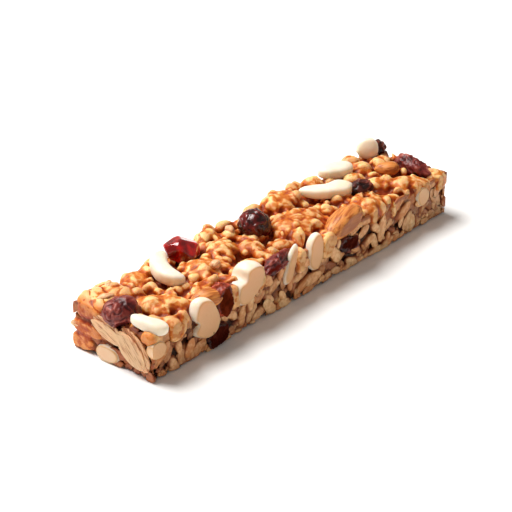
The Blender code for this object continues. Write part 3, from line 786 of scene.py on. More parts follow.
def addClusters(shape):
    rounds = bmesh.new()
    for number, (x, y, length, width, turn, rise, knobs) in enumerate(clusters["rows"]):
        draw = random.Random(seed + number)
        dome = clusters["domeHeight"]
        centre = barHeight + rise - clusters["domeSink"] - dome / 2.0
        addChunk(shape, (length, width, dome), (x, y, centre), turn, draw)
        heading = math.radians(turn)
        reachAlong = max(length - clusters["knob"][0], 0.0) / 2.0
        reachAcross = max(width - clusters["knob"][1], 0.0) / 2.0
        for knob in range(knobs):
            spread = math.sqrt((knob + 0.5) / knobs) if knobs > 1 else 0.0
            angle = knob * goldenAngle + draw.uniform(0.0, 0.6)
            along = spread * reachAlong * math.cos(angle)
            across = spread * reachAcross * math.sin(angle)
            inside = (2.0 * along / length) ** 2 + (2.0 * across / width) ** 2
            height = centre + dome / 2.0 * math.sqrt(1.0 - inside)
            size = [value * draw.uniform(0.85, 1.15) for value in clusters["knob"]]
            spot = (
                x + along * math.cos(heading) - across * math.sin(heading),
                y + along * math.sin(heading) + across * math.cos(heading),
                height - size[2] / 2.0 + clusters["knobRise"],
            )
            turns = (0.0, draw.uniform(-15.0, 15.0), turn + draw.uniform(-60.0, 60.0))
            addEllipsoid(rounds, size, spot, turns, 14, 10)
    pour(rounds, shape)


def addSlab(shape, place, size, turns, squareness):
    # An ellipsoid pushed towards a box with round edges.
    own = bmesh.new()
    addEllipsoid(own, (1.0, 1.0, 1.0), segments=40, rings=28)
    for point in own.verts:
        for axis in range(3):
            unit = 2.0 * point.co[axis]
            point.co[axis] = math.copysign(abs(unit) ** squareness, unit) * size[axis] / 2.0
    own.transform(Matrix.Translation(place) @ turned(turns))
    pour(own, shape)


def addCrumbs(shape):
    draw = random.Random(seed + 60)
    own = bmesh.new()
    margin = core["recess"] + 0.5
    for _ in range(clusters["crumbs"]):
        spot = (
            draw.uniform(margin - halfLength, halfLength - margin),
            draw.uniform(margin - halfWidth, halfWidth - margin),
            clusters["crumbLevel"] + draw.uniform(-0.6, 0.6),
        )
        size = [value * draw.uniform(0.6, 1.4) for value in clusters["crumbSize"]]
        addEllipsoid(own, size, spot, [draw.uniform(0.0, 180.0) for _ in range(3)], 10, 7)
    pour(own, shape)


def addOats(shape):
    draw = random.Random(seed + 90)
    own = bmesh.new()
    for _ in range(slabs["oats"]):
        spot = [middle + draw.uniform(-1.0, 1.0) * reach
                for middle, reach in zip(slabs["oatMiddle"], slabs["oatReach"])]
        size = [value * draw.uniform(0.75, 1.2) for value in slabs["oatSize"]]
        tilt = slabs["oatTilt"]
        turns = (draw.uniform(-tilt, tilt), draw.uniform(-tilt, tilt), draw.uniform(0.0, 180.0))
        addEllipsoid(own, size, (*spot, slabs["oatMiddle"][2]), turns, 18, 12)
    pour(own, shape)


def addCore(shape):
    # A slab of syrup and crumbs a little inside the cut faces, lumpy all over.
    reach = (halfLength - core["recess"], halfWidth - core["recess"])
    height = core["top"] - core["base"]
    own = bmesh.new()
    bmesh.ops.create_cube(own, size=1.0)
    own.transform(Matrix.Diagonal((2.0 * reach[0], 2.0 * reach[1], height, 1.0)))
    own.transform(Matrix.Translation((0.0, 0.0, core["base"] + height / 2.0)))
    for axis, span in enumerate((2.0 * reach[0], 2.0 * reach[1], height)):
        along = [edge for edge in own.edges
                 if abs((edge.verts[0].co - edge.verts[1].co)[axis]) > core["step"]]
        cuts = int(span / core["step"])
        bmesh.ops.subdivide_edges(own, edges=along, cuts=cuts, use_grid_fill=True)
    own.normal_update()
    for point in own.verts:
        lump = noise.noise(point.co / core["lumpSize"]) + 0.5 * noise.noise(point.co / core["lumpSize"] * 2.7)
        up = 0.0 if point.co.z < core["base"] + 0.1 else 1.0
        point.co += point.normal * lump * core["lump"] * 2.0 * up
    pour(own, shape)


def lobeTree():
    # Small puffs scattered over the upward faces of the clusters, half sunk in them.
    tree, given = newTree("puff lobes", Spacing="Float", Smallest="Vector", Largest="Vector",
                          Sink="Float", Seed="Int")
    link = tree.links.new
    facing = addNode(tree, "GeometryNodeInputNormal")
    upward = addNode(tree, "FunctionNodeCompare", data_type="FLOAT", operation="GREATER_THAN")
    link(separated(tree, facing.outputs["Normal"])["Z"], live(upward.inputs, "A"))
    live(upward.inputs, "B").default_value = 0.05
    points = scatterPoints(tree, given, upward.outputs[0])
    ball = addNode(tree, "GeometryNodeMeshUVSphere")
    ball.inputs["Segments"].default_value = 12
    ball.inputs["Rings"].default_value = 8
    ball.inputs["Radius"].default_value = 0.5
    turns = randomValue(tree, "FLOAT_VECTOR", (-0.4, -0.4, -3.14), (0.4, 0.4, 3.14), 3)
    share = randomValue(tree, "FLOAT_VECTOR", (0.0, 0.0, 0.0), (1.0, 1.0, 1.0), 4)
    size = between(tree, given, "Smallest", "Largest", share, data_type="VECTOR", factor_mode="NON_UNIFORM")
    puffs = scatterShapes(tree, points, ball.outputs["Mesh"], given["Sink"], turns, size)
    real = addNode(tree, "GeometryNodeRealizeInstances")
    link(puffs, real.inputs["Geometry"])
    both = addNode(tree, "GeometryNodeJoinGeometry")
    link(given["Geometry"], both.inputs[0])
    link(real.outputs["Geometry"], both.inputs[0])
    return endTree(tree, given, both.outputs[0])


def trim(points):
    # Brings points that pass the knife's planes back onto them.
    x, y, z = points.T
    wander = clusters["ragged"] * np.sin(x * 1.7 + z * 2.3) * np.cos(y * 2.1 + z * 1.3)
    reach = [half - clusters["margin"] + wander for half in (halfLength, halfWidth)]
    for axis in range(2):
        points[:, axis] = np.clip(points[:, axis], -reach[axis], reach[axis])
    points[:, 2] = np.maximum(points[:, 2], 0.0)
    return points


def knuckles(points):
    # Every point's distance out: rounded puffs of uneven height, drawn in where two meet.
    moves = np.zeros(len(points))
    size = clusters["knuckleSize"]
    for index, point in enumerate(points):
        spot = Vector(point) / size
        spot += clusters["warp"] * noise.noise_vector(spot * 0.5)
        near, places = noise.voronoi(spot)
        seam = 1.0 - math.exp(-(near[1] - near[0]) / clusters["knuckleEdge"])
        own = noise.noise(places[0] * 7.3) * clusters["knuckleUneven"]
        dome = 1.0 - clusters["knuckleRound"] * near[0] * near[0]
        moves[index] = clusters["knuckle"] * (seam * dome - clusters["knuckleLevel"]) + seam * own
        moves[index] += noise.noise(Vector(point) / clusters["crinkleSize"]) * clusters["crinkle"]
        if point[0] < slabs["calmEnd"] and point[1] > slabs["calmSide"] and point[2] > slabs["calmLevel"]:
            moves[index] *= slabs["calm"]
    return moves


def makeGlazedBody():
    shape = bmesh.new()
    addClusters(shape)
    body = newPiece("glazedClusters", shape)
    body.data.materials.append(glazeMaterial)
    runTree(body, lobeTree(), {
        "Spacing": clusters["lobeSpacing"], "Smallest": clusters["lobeSmall"],
        "Largest": clusters["lobeLarge"], "Sink": clusters["lobeSink"], "Seed": seed,
        "Material": glazeMaterial,
    })
    shape = bmesh.new()
    shape.from_mesh(body.data)
    addCore(shape)
    for row in slabs["rows"]:
        addSlab(shape, *row)
    addOats(shape)
    addCrumbs(shape)
    shape.to_mesh(body.data)
    shape.free()
    fuse = body.modifiers.new("fuse", "REMESH")
    fuse.mode = "VOXEL"
    fuse.voxel_size = clusters["voxel"]
    settle(body)
    melt = body.modifiers.new("melt", "SMOOTH")
    melt.factor = 0.5
    melt.iterations = clusters["melt"]
    settle(body)
    mesh = body.data
    points = pointsOf(mesh)
    points += normalsOf(mesh) * knuckles(points)[:, None]
    mesh.vertices.foreach_set("co", points.ravel())
    mesh.update()
    normals = normalsOf(mesh)
    fine, broad = (
        np.einsum("ij,ij->i", normals, points - relaxed(mesh, points, clusters[rings]))
        for rings in ("fineRings", "broadRings")
    )
    onSlab = (points[:, 0] < slabs["calmEnd"]) & (points[:, 1] > slabs["calmSide"])
    onSlab &= points[:, 2] > slabs["calmLevel"]
    onTop = onSlab & (points[:, 2] > slabs["topLevel"])
    # Crowns are picked out paler and crevices darker, finely and broadly: thin glaze and pooled syrup, with
    # painted highlight and painted shade.
    crest = 0.5 + fine * (clusters["fineLight"] + onTop * slabs["lines"]) + broad * clusters["broadLight"]
    crest = np.clip(crest + onTop * slabs["paler"] - (onSlab & ~onTop) * slabs["browner"], 0.0, 1.0)
    storeValue(mesh, "crest", crest)
    points = trim(points)
    mesh.vertices.foreach_set("co", points.ravel())
    mesh.update()
    print("glazed body:", len(mesh.polygons), "faces")
    finishPiece(body, glazeMaterial, "binder", "bar")


makeGlazedBody()


nuts = {
    # name: place, length, width, thickness, bend, taper, turns, flush with the cut, waist, skin
    "cashew_front": (
        (-59.4, -10.4, 14.4), 10.2, 4.2, 3.5, -20.0, 0.4,
        (0.0, 8.0, -70.0), False, 0.12, "nut",
    ),
    "cashew_crescent": (
        (-38.0, 4.6, 15.6), 15.6, 5.0, 4.4, 118.0, 0.1,
        (0.0, -6.0, 68.0), False, 0.0, "nut",
    ),
    "cashew_long": (
        (26.6, 3.2, 15.0), 16.0, 6.4, 3.8, -48.0, 0.7,
        (0.0, 0.0, -33.0), False, 0.26, "nut",
    ),
    "cashew_oval": (
        (38.8, 9.4, 15.0), 11.0, 6.4, 4.0, -14.0, 0.1,
        (0.0, 0.0, -24.0), False, 0.0, "nut",
    ),
    "cashew_back": (
        (55.3, 10.6, 16.0), 6.6, 6.2, 4.0, 0.0, 0.1,
        (80.0, 0.0, -44.0), False, 0.0, "nut",
    ),
    "cashew_edge_near": (
        (-42.9, -12.7, 9.9), 11.8, 9.2, 7.6, 58.0, 0.5,
        (90.0, 76.0, 0.0), True, 0.24, "nut",
    ),
    "cashew_edge_middle": (
        (-25.7, -11.8, 12.5), 12.4, 8.8, 9.0, -58.0, 0.2,
        (90.0, -40.0, 0.0), True, 0.24, "nut",
    ),
    "cashew_edge_far": (
        (1.4, -13.2, 11.3), 10.8, 5.8, 4.6, 0.0, 0.1,
        (90.0, 97.0, 0.0), True, 0.06, "nut",
    ),
    "almond_far": (
        (16.0, -10.8, 13.2), 17.6, 9.2, 6.8, 0.0, 0.6,
        (-34.0, -8.0, 10.0), True, 0.0, "almond",
    ),
    "almond_near": (
        (-38.9, -10.8, 13.4), 9.0, 5.8, 4.6, 0.0, 0.5,
        (0.0, 0.0, -24.0), True, 0.0, "almond",
    ),
    "almond_back": (
        (50.6, -0.4, 14.3), 7.6, 5.0, 4.2, 0.0, 0.5,
        (0.0, 0.0, -40.0), False, 0.0, "almond",
    ),
    "almond_sliver": (
        (-9.0, -13.4, 11.6), 11.4, 3.6, 2.4, 0.0, 0.2,
        (90.0, 112.0, 0.0), True, 0.0, "nut",
    ),
    "peanut_corner": (
        (-60.4, -13.4, 8.8), 5.8, 4.8, 4.6, 0.0, 0.2,
        (90.0, 10.0, 20.0), True, 0.0, "nut",
    ),
    "peanut_end": (
        (-61.2, 2.0, 2.2), 8.2, 5.0, 4.8, 0.0, 0.2,
        (0.0, 6.0, 90.0), True, 0.0, "nut",
    ),
    "nut_side_far": (
        (50.0, -13.2, 10.0), 6.2, 5.0, 5.0, 0.0, 0.2,
        (90.0, 60.0, 0.0), True, 0.0, "nut",
    ),
    "cashew_rear_left": (
        (-22.0, 12.4, 7.6), 13.0, 7.6, 6.4, 46.0, 0.3,
        (90.0, 24.0, 0.0), True, 0.12, "nut",
    ),
    "cashew_rear_right": (
        (34.0, 12.6, 5.4), 12.0, 7.0, 6.0, 40.0, 0.3,
        (90.0, -30.0, 0.0), True, 0.12, "nut",
    ),
    "almond_rear": (
        (8.0, 12.6, 6.4), 15.0, 8.0, 6.0, 0.0, 0.6,
        (90.0, 18.0, 0.0), True, 0.0, "almond",
    ),
    "cashew_far_end": (
        (61.0, 4.2, 7.8), 10.0, 6.6, 6.0, 20.0, 0.2,
        (30.0, 0.0, 90.0), True, 0.1, "nut",
    ),
}
nutShape = {
    "segments": 56, "rings": 40, "uneven": 0.12, "unevenSize": 3.2, "point": 0.22, "blunt": 0.8,
    "flat": 0.54, "disc": 0.42, "taperWidth": 1.2, "taperHeight": 0.4,
    "waistReach": 0.17, "waistAll": 0.3, "waistHollow": 1.3,  # the waist's length, and its two sides
}
knife = {"edge": 0.25, "start": 0.4, "endShare": 0.7, "rimWidth": 0.3, "rimEnd": 0.6, "rimShare": 0.85}


def keepOwn(shape):
    # Each point remembers its place on the nut or fruit, for patterns that follow it.
    layer = shape.verts.layers.float_vector.new("own")
    for point in shape.verts:
        point[layer] = point.co


def bean(length, width, thickness, bend, taper, waist, pointed, flat):
    # A kernel bent along an arc in its own XY plane; taper makes the -X end slimmer.
    shape = bmesh.new()
    addEllipsoid(shape, (length, width, thickness), segments=nutShape["segments"], rings=nutShape["rings"])
    arc = math.radians(bend)
    for point in shape.verts:
        if not pointed:
            full = 2.0 * point.co.x / length
            point.co.x = math.copysign(abs(full) ** nutShape["blunt"], full) * length / 2.0
        along = point.co.x / length
        # The waist is pinched on the hollow side of the bend, hardly on the other.
        hollow = 0.5 - 0.5 * math.copysign(1.0, arc) * math.tanh(4.0 * point.co.y / width)
        sides = nutShape["waistAll"] + nutShape["waistHollow"] * hollow
        pinch = 1.0 - waist * sides * math.exp(-((along / nutShape["waistReach"]) ** 2))
        tip = 1.0 - pointed * (2.0 * abs(along)) ** 3
        fullness = (1.0 + taper * along * nutShape["taperWidth"]) * pinch * tip
        side = point.co.y * fullness
        level = 2.0 * point.co.z / thickness
        slope = 1.0 + nutShape["taperHeight"] * taper * along
        up = math.copysign(abs(level) ** flat, level) * thickness / 2.0 * slope * tip
        if abs(arc) < 0.01:
            point.co = Vector((point.co.x, side, up))
            continue
        radius = length / arc
        angle = along * arc
        sag = radius * (1.0 - math.cos(arc / 4.0))
        point.co.x = (radius + side) * math.sin(angle)
        point.co.y = (radius + side) * math.cos(angle) - radius + sag
        point.co.z = up
    return shape


def flushCut(shape, torn=0.0):
    # Where the knife took a slice off: a flat face with a soft rim, torn a little where it is sticky.
    cut = shape.verts.layers.float.new("cut")
    rim = shape.verts.layers.float.new("rim")
    for point in shape.verts:
        side, end = abs(point.co.y) - halfWidth, abs(point.co.x) - halfLength
        over = max(side, end)
        most = 1.0 if side > end else knife["endShare"]
        # The cut value also marks where the nut and almond finishes paint the flat face in shade.
        point[cut] = min(max(over / knife["edge"] + knife["start"], 0.0), most)
        soft = knife["rimShare"] * math.exp(-((over / knife["rimWidth"]) ** 2))
        point[rim] = soft if over < knife["rimEnd"] else 0.0
        tear = torn * (0.5 + noise.noise(point.co / 1.4)) if torn else 0.0
        point.co.x = min(max(point.co.x, tear - halfLength), halfLength - tear)
        point.co.y = min(max(point.co.y, tear - halfWidth), halfWidth - tear)
        point.co.z = max(point.co.z, 0.02)


def setInBar(shape, name, place, turns, finish, slotName, flush=False, torn=0.0):
    # A shape made round its own middle goes to its place, in the piece that stands for the same solid.
    keepOwn(shape)
    shape.transform(Matrix.Translation(place) @ turned(turns))
    if flush:
        flushCut(shape, torn)
    first, *rest = name.split("_")
    piece = newPiece(first + "".join(word.capitalize() for word in rest) + "Piece", shape)
    finishPiece(piece, finish, slotName, name)


def makeNuts():
    for number, (name, row) in enumerate(nuts.items()):
        place, length, width, thickness, bend, taper, turns, flush, waist, skin = row
        pointed = nutShape["point"] if skin == "almond" else 0.0
        flat = 1.0 if pointed or flush else nutShape["flat"]
        flat = nutShape["disc"] if name == "cashew_back" else flat
        shape = bean(length, width, thickness, bend, taper, waist, pointed, flat)
        shape.normal_update()
        shift = Vector((number * 7.3, 0.0, 0.0))
        for point in shape.verts:
            bump = noise.noise(point.co / nutShape["unevenSize"] + shift)
            point.co += point.normal * bump * nutShape["uneven"] * 2.0
        finish, slotName = nutMaterial, "nut"
        if skin == "almond":
            finish, slotName = almondMaterial, "almond_skin"
        setInBar(shape, name, place, turns, finish, slotName, flush)


fruits = {
    # name: place, size, turns, wrinkle, flush, skin, fold depth, fold size, pattern
    "cranberry_front": (
        (-58.6, -0.2, 13.9), (10.2, 9.8, 8.0), (0.0, 0.0, 20.0),
        0.08, False, "plum", 0.6, 4.0, 0,
    ),
    "cranberry_round": (
        (-3.5, 3.9, 15.4), (9.4, 9.2, 8.8), (0.0, 0.0, 40.0),
        0.04, False, "cherry", 0.4, 4.6, 2,
    ),
    "raisin_back": (
        (58.4, 11.2, 14.6), (9.0, 4.6, 5.6), (0.0, 0.0, -44.0),
        0.12, False, "raisin", 0.55, 3.0, 3,
    ),
    "raisin_middle": (
        (35.0, -2.6, 14.4), (8.2, 5.6, 5.0), (0.0, 0.0, -20.0),
        0.12, False, "raisin", 0.6, 2.8, 4,
    ),
    "raisin_far": (
        (56.6, -5.2, 14.4), (13.0, 6.2, 5.2), (0.0, 4.0, -98.0),
        0.12, False, "plum", 0.6, 3.0, 5,
    ),
    "date_edge": (
        (-35.0, -12.2, 11.6), (6.8, 7.0, 10.0), (0.0, 0.0, 0.0),
        0.10, True, "date", 0.5, 3.0, 6,
    ),
    "cranberry_strip": (
        (-13.2, -12.2, 13.2), (14.6, 4.4, 4.8), (0.0, -4.0, 10.0),
        0.12, True, "plum", 0.6, 2.8, 7,
    ),
    "raisin_side": (
        (16.2, -13.0, 7.8), (9.6, 4.6, 5.6), (0.0, 4.0, 0.0),
        0.12, True, "raisin", 0.6, 2.6, 8,
    ),
    "raisin_low": (
        (-38.2, -12.8, 2.8), (8.8, 6.0, 6.4), (0.0, 0.0, 0.0),
        0.12, True, "raisin", 0.6, 2.8, 9,
    ),
    "raisin_rear_left": (
        (-44.0, 12.8, 5.6), (9.0, 5.4, 6.6), (0.0, 20.0, 0.0),
        0.12, True, "raisin", 0.6, 2.8, 10,
    ),
    "cranberry_rear": (
        (54.0, 12.6, 5.0), (8.4, 5.6, 6.2), (0.0, -10.0, 0.0),
        0.10, True, "plum", 0.6, 2.8, 11,
    ),
    "raisin_far_end": (
        (61.0, -7.4, 5.6), (5.0, 8.4, 6.0), (10.0, 0.0, 0.0),
        0.12, True, "raisin", 0.6, 2.8, 12,
    ),
}


fruitShape = {
    "segments": 84, "rings": 60,
    "tear": 0.3,      # how roughly the knife tears a sticky cut face
    "warp": 0.35,
    "ridge": 0.75, "ridgeWidth": 0.12,    # sharp ridges between hollow plates
    "crease": 0.45, "creaseWidth": 0.08,  # fine creases on them
    "plate": 0.8, "level": 0.4,
}


def makeFruit():
    for name, row in fruits.items():
        place, size, turns, wrinkle, flush, skin, foldDepth, foldSize, pattern = row
        shape = bmesh.new()
        addEllipsoid(shape, size, segments=fruitShape["segments"], rings=fruitShape["rings"])
        shift = Vector((pattern * 3.1, pattern * 1.7, 0.0))
        crestLayer = shape.verts.layers.float.new("crest")
        for point in shape.verts:
            unit = Vector([2.0 * point.co[axis] / size[axis] for axis in range(3)])
            swell = noise.noise(Vector((unit.x * 0.8, unit.y * 1.6, unit.z * 1.6)) + shift)
            spot = point.co / foldSize + shift
            warped = spot + fruitShape["warp"] * noise.noise_vector(spot * 0.9)
            # Shrunken skin.
            ridge = math.exp(-((noise.noise(warped) / fruitShape["ridgeWidth"]) ** 2))
            fold = noise.noise(warped * 1.9 + Vector((5.0, 1.0, 2.0)))
            crease = math.exp(-((fold / fruitShape["creaseWidth"]) ** 2))
            plate = noise.noise(warped * 1.1 + Vector((2.0, 7.0, 1.0)))
            relief = fruitShape["ridge"] * ridge - fruitShape["crease"] * crease + fruitShape["plate"] * plate
            point[crestLayer] = max(min(0.45 + 0.5 * relief, 1.0), 0.0)
            outward = point.co.normalized()
            move = (relief - fruitShape["level"]) * foldDepth
            point.co = point.co * (1.0 + wrinkle * swell * 2.0) + outward * move
        slotName = "date" if skin == "date" else "dark_fruit"
        setInBar(shape, name, place, turns, fruitMaterials[skin], slotName, flush, fruitShape["tear"])


candied = {
    "place": (-26.8, 9.2, 15.0), "size": (10.8, 10.4, 8.2), "turns": (0.0, 10.0, -20.0),
    "facets": 14, "inset": 0.84, "soft": 30.0,
}


def makeCandiedFruit():
    # A lump pulled in to flat facets with soft edges.
    draw = random.Random(seed + 4)
    facets = []
    for number in range(candied["facets"]):
        up = 1.0 - 2.0 * (number + 0.5) / candied["facets"]
        turn = number * goldenAngle + draw.uniform(-0.3, 0.3)
        flat = math.sqrt(1.0 - up * up)
        facing = Vector((flat * math.cos(turn), flat * math.sin(turn), up))
        facets.append((facing, candied["inset"] + draw.uniform(-0.06, 0.06)))
    shape = bmesh.new()
    addEllipsoid(shape, (2.0, 2.0, 2.0), segments=96, rings=64)
    soft = candied["soft"]
    for point in shape.verts:
        outward = point.co.normalized()
        # A soft minimum of the distances to all facets.
        total = math.exp(-soft)
        for facing, inset in facets:
            lean = outward.dot(facing)
            if lean > 0.05:
                total += math.exp(-soft * inset / lean)
        reach = -math.log(total) / soft
        point.co = Vector([outward[axis] * reach * candied["size"][axis] / 2.0 for axis in range(3)])
    setInBar(shape, "cranberry_jelly", candied["place"], candied["turns"], jellyMaterial, "jelly_fruit")


makeNuts()
makeFruit()
makeCandiedFruit()
print("nuts and fruit made")


pressed = {
    # Puffed grains cut flush with the faces, and crumbs that fill the gaps behind them.
    "pressedGrains": {
        "Spacing": 2.8, "Smallest": (3.8, 2.2, 1.9), "Largest": (8.6, 3.6, 3.0),
        "Shallow": 0.5, "Deep": 2.0,             # how far a grain's middle lies under the face
        "Shave least": 0.3, "Shave most": 1.4,   # how far under the face it was cut
        "Tilt": 0.35, "Uneven": 0.32, "Uneven size": 1.9, "Seed": seed, "Segments": 10, "Rings": 8,
    },
    "pressedCrumbs": {
        "Spacing": 2.1, "Smallest": (1.2, 1.0, 0.8), "Largest": (3.0, 1.9, 1.4),
        "Shallow": 0.9, "Deep": 2.0, "Shave least": 0.6, "Shave most": 1.5,
        "Tilt": 0.9, "Uneven": 0.2, "Uneven size": 0.8, "Seed": seed + 1, "Segments": 7, "Rings": 5,
    },
}
pressedTop = 12.4  # the panels' height, short of the clusters
pressedRim = 12.6  # above this they aren't darkened by syrup and painted shade


def storedOn(tree, instances, name, value):
    node = addNode(tree, "GeometryNodeStoreNamedAttribute", data_type="FLOAT", domain="INSTANCE")
    node.inputs["Name"].default_value = name
    tree.links.new(instances, node.inputs["Geometry"])
    tree.links.new(value, live(node.inputs, "Value"))
    return node.outputs["Geometry"]


def rippled(tree, given, geometry):
    # Uneven skins.
    ripple = addNode(tree, "ShaderNodeTexNoise", noise_dimensions="3D")
    tree.links.new(maths(tree, "DIVIDE", 1.0, given["Uneven size"]), ripple.inputs["Scale"])
    facing = addNode(tree, "GeometryNodeInputNormal")
    swell = maths(tree, "MULTIPLY", maths(tree, "SUBTRACT", ripple.outputs["Fac"], 0.5), given["Uneven"])
    outward = scaled(tree, facing.outputs["Normal"], maths(tree, "MULTIPLY", swell, 4.0))
    return moved(tree, geometry, "Offset", outward)


def shavedFlush(tree, given, geometry):
    # The knife's faces, each grain cut at its own depth under them.
    place = addNode(tree, "GeometryNodeInputPosition")
    axes, reach = separated(tree, place.outputs[0]), separated(tree, given["Reach"])
    shaveBy = addNode(tree, "GeometryNodeInputNamedAttribute", data_type="FLOAT")
    shaveBy.inputs["Name"].default_value = "shave"
    depth = live(shaveBy.outputs, "Attribute")
    cut = addNode(tree, "ShaderNodeCombineXYZ")
    for axis in (0, 1):
        most = maths(tree, "SUBTRACT", reach[axis], depth)
        least = maths(tree, "MULTIPLY", most, -1.0)
        kept = maths(tree, "MAXIMUM", maths(tree, "MINIMUM", axes[axis], most), least)
        tree.links.new(kept, cut.inputs[axis])
    floorLevel = maths(tree, "MULTIPLY", depth, 0.25)
    topLevel = maths(tree, "MINIMUM", axes[2], maths(tree, "SUBTRACT", reach[2], depth))
    tree.links.new(maths(tree, "MAXIMUM", topLevel, floorLevel), cut.inputs[2])
    return moved(tree, geometry, "Position", cut.outputs[0])


def grainTree():
    # Grains scattered over the block's faces, turned in the face's plane, and cut flush with it.
    floats = ("Spacing", "Shallow", "Deep", "Shave_least", "Shave_most", "Tilt", "Uneven", "Uneven_size")
    tree, given = newTree(
        "pressed grains", **dict.fromkeys(floats, "Float"),
        **dict.fromkeys(("Smallest", "Largest", "Reach"), "Vector"),
        **dict.fromkeys(("Seed", "Segments", "Rings"), "Int"),
    )
    link = tree.links.new
    points = scatterPoints(tree, given)
    share = randomValue(tree, "FLOAT", 0.0, 1.0, 1)
    depth = between(tree, given, "Shallow", "Deep", share, data_type="FLOAT")
    ball = addNode(tree, "GeometryNodeMeshUVSphere")
    link(given["Segments"], ball.inputs["Segments"])
    link(given["Rings"], ball.inputs["Rings"])
    ball.inputs["Radius"].default_value = 0.5
    lie = addNode(tree, "GeometryNodeTransform")
    link(ball.outputs["Mesh"], lie.inputs["Geometry"])
    lie.inputs["Rotation"].default_value = (0.0, math.radians(90.0), 0.0)
    tilts = addNode(tree, "ShaderNodeCombineXYZ")
    link(given["Tilt"], tilts.inputs["X"])
    link(given["Tilt"], tilts.inputs["Y"])
    tilts.inputs["Z"].default_value = 3.14
    lean = addNode(tree, "ShaderNodeVectorMath", operation="MULTIPLY")
    link(tilts.outputs[0], lean.inputs[0])
    link(randomValue(tree, "FLOAT_VECTOR", (-1.0, -1.0, -1.0), (1.0, 1.0, 1.0), 2), lean.inputs[1])
    share = randomValue(tree, "FLOAT", 0.0, 1.0, 3)
    size = between(tree, given, "Smallest", "Largest", share, data_type="VECTOR", factor_mode="UNIFORM")
    grains = scatterShapes(tree, points, lie.outputs["Geometry"], depth, lean.outputs[0], size)
    grains = storedOn(tree, grains, "tone", randomValue(tree, "FLOAT", 0.0, 1.0, 4))
    share = randomValue(tree, "FLOAT", 0.0, 1.0, 5)
    shave = between(tree, given, "Shave least", "Shave most", share, data_type="FLOAT")
    real = addNode(tree, "GeometryNodeRealizeInstances")
    link(storedOn(tree, grains, "shave", shave), real.inputs["Geometry"])
    return endTree(tree, given, shavedFlush(tree, given, rippled(tree, given, real.outputs["Geometry"])))


def makePressed(name, values, tree):
    shape = bmesh.new()
    bmesh.ops.create_cube(shape, size=1.0)
    shape.transform(Matrix.Diagonal((2.0 * halfLength, 2.0 * halfWidth, pressedTop, 1.0)))
    shape.transform(Matrix.Translation((0.0, 0.0, pressedTop / 2.0)))
    lid = [face for face in shape.faces if face.normal.z > 0.5]
    bmesh.ops.delete(shape, geom=lid, context="FACES_ONLY")
    grains = newPiece(name, shape)
    reach = (halfLength, halfWidth, barHeight)
    runTree(grains, tree, {**values, "Reach": reach, "Material": grainMaterial})
    mesh = grains.data
    points = pointsOf(mesh)
    # How deep each point lies under the faces: the grain finish paints syrup and shade deeper in from it.
    under = np.minimum(halfLength - np.abs(points[:, 0]), halfWidth - np.abs(points[:, 1]))
    under = np.minimum(under, points[:, 2] + 0.1)
    under = np.minimum(under, np.maximum(pressedRim - points[:, 2], 0.0))
    storeValue(mesh, "sunk", under)
    print(name, len(mesh.polygons), "faces")
    finishPiece(grains, grainMaterial, "binder", "bar")


pressedTree = grainTree()
for pressedName, pressedValues in pressed.items():
    makePressed(pressedName, pressedValues, pressedTree)


flakes = {
    # place, length, width, thickness, heading in the end face, curl, layers, ridges
    "oatFlakePair": ((-61.9, 0.8, 9.8), 12.6, 4.8, 1.2, 21.0, 0.9, 2, 0.0),
    "stripedFlake": ((-61.6, -7.9, 7.3), 12.8, 7.0, 1.5, 50.0, 1.0, 3, 0.14),
    "slabFlake": ((-61.8, 12.6, 7.0), 5.4, 2.6, 0.9, -12.0, 0.3, 1, 0.05),
}
flakeShape = {
    "segments": 64, "rings": 40, "gap": 0.62, "slide": (0.3, 0.9), "fan": 5.0, "shrink": 0.9,
    "ridgeWidth": 0.95, "proud": 0.2, "squeeze": 0.14,
}


def makeFlakes():
    for name, (place, length, width, thickness, heading, curl, layers, ridges) in flakes.items():
        shape = bmesh.new()
        for layer in range(layers):
            own = bmesh.new()
            scale = flakeShape["shrink"] ** layer
            addEllipsoid(own, (length * scale, width * scale, thickness),
                         segments=flakeShape["segments"], rings=flakeShape["rings"])
            for point in own.verts:
                along = 2.0 * point.co.x / length
                point.co.y *= 1.0 - 0.45 * max(along, 0.0) ** 2
                wave = ridges * math.sin(2.0 * math.pi * point.co.y / flakeShape["ridgeWidth"])
                uneven = 0.3 * noise.noise(point.co / 2.2 + Vector((layer * 5.0, length, 0.0)))
                point.co.z += wave + uneven + curl * (along ** 2 + (2.0 * point.co.y / width) ** 2) * 0.5
            fan = Matrix.Rotation(math.radians(flakeShape["fan"] * layer), 4, "Z")
            slide = Vector((*flakeShape["slide"], flakeShape["gap"])) * layer
            own.transform(Matrix.Translation(slide) @ fan)
            pour(own, shape)
        keepOwn(shape)
        turn = math.radians(heading)
        across, outward = Vector((0.0, math.sin(turn), -math.cos(turn))), Vector((-1.0, 0.0, 0.0))
        axes = Matrix((Vector((0.0, math.cos(turn), math.sin(turn))), across, outward)).transposed()
        shape.transform(Matrix.Translation(place) @ axes.to_4x4())
        # What stands out of the end is pressed nearly flush, but a rim keeps its two sides.
        limit = -halfLength - flakeShape["proud"]
        for point in shape.verts:
            if point.co.x < limit:
                point.co.x = limit + (point.co.x - limit) * flakeShape["squeeze"]
        finishPiece(newPiece(name, shape), flakeMaterial, "binder", "bar")


puffs = {
    # place, size, turns
    "rows": (
        ((-26.9, -3.0, 15.3), (3.6, 2.6, 2.4), (0.0, 10.0, 30.0)),
        ((-9.0, 8.0, 14.8), (3.4, 2.4, 2.2), (0.0, 0.0, 70.0)),
        ((-57.6, 6.4, 15.35), (4.8, 2.2, 1.3), (0.0, 0.0, -22.0)),
        ((-52.6, 10.6, 15.3), (3.4, 1.8, 1.1), (0.0, 0.0, 40.0)),
    ),
    "uneven": 0.25,
}


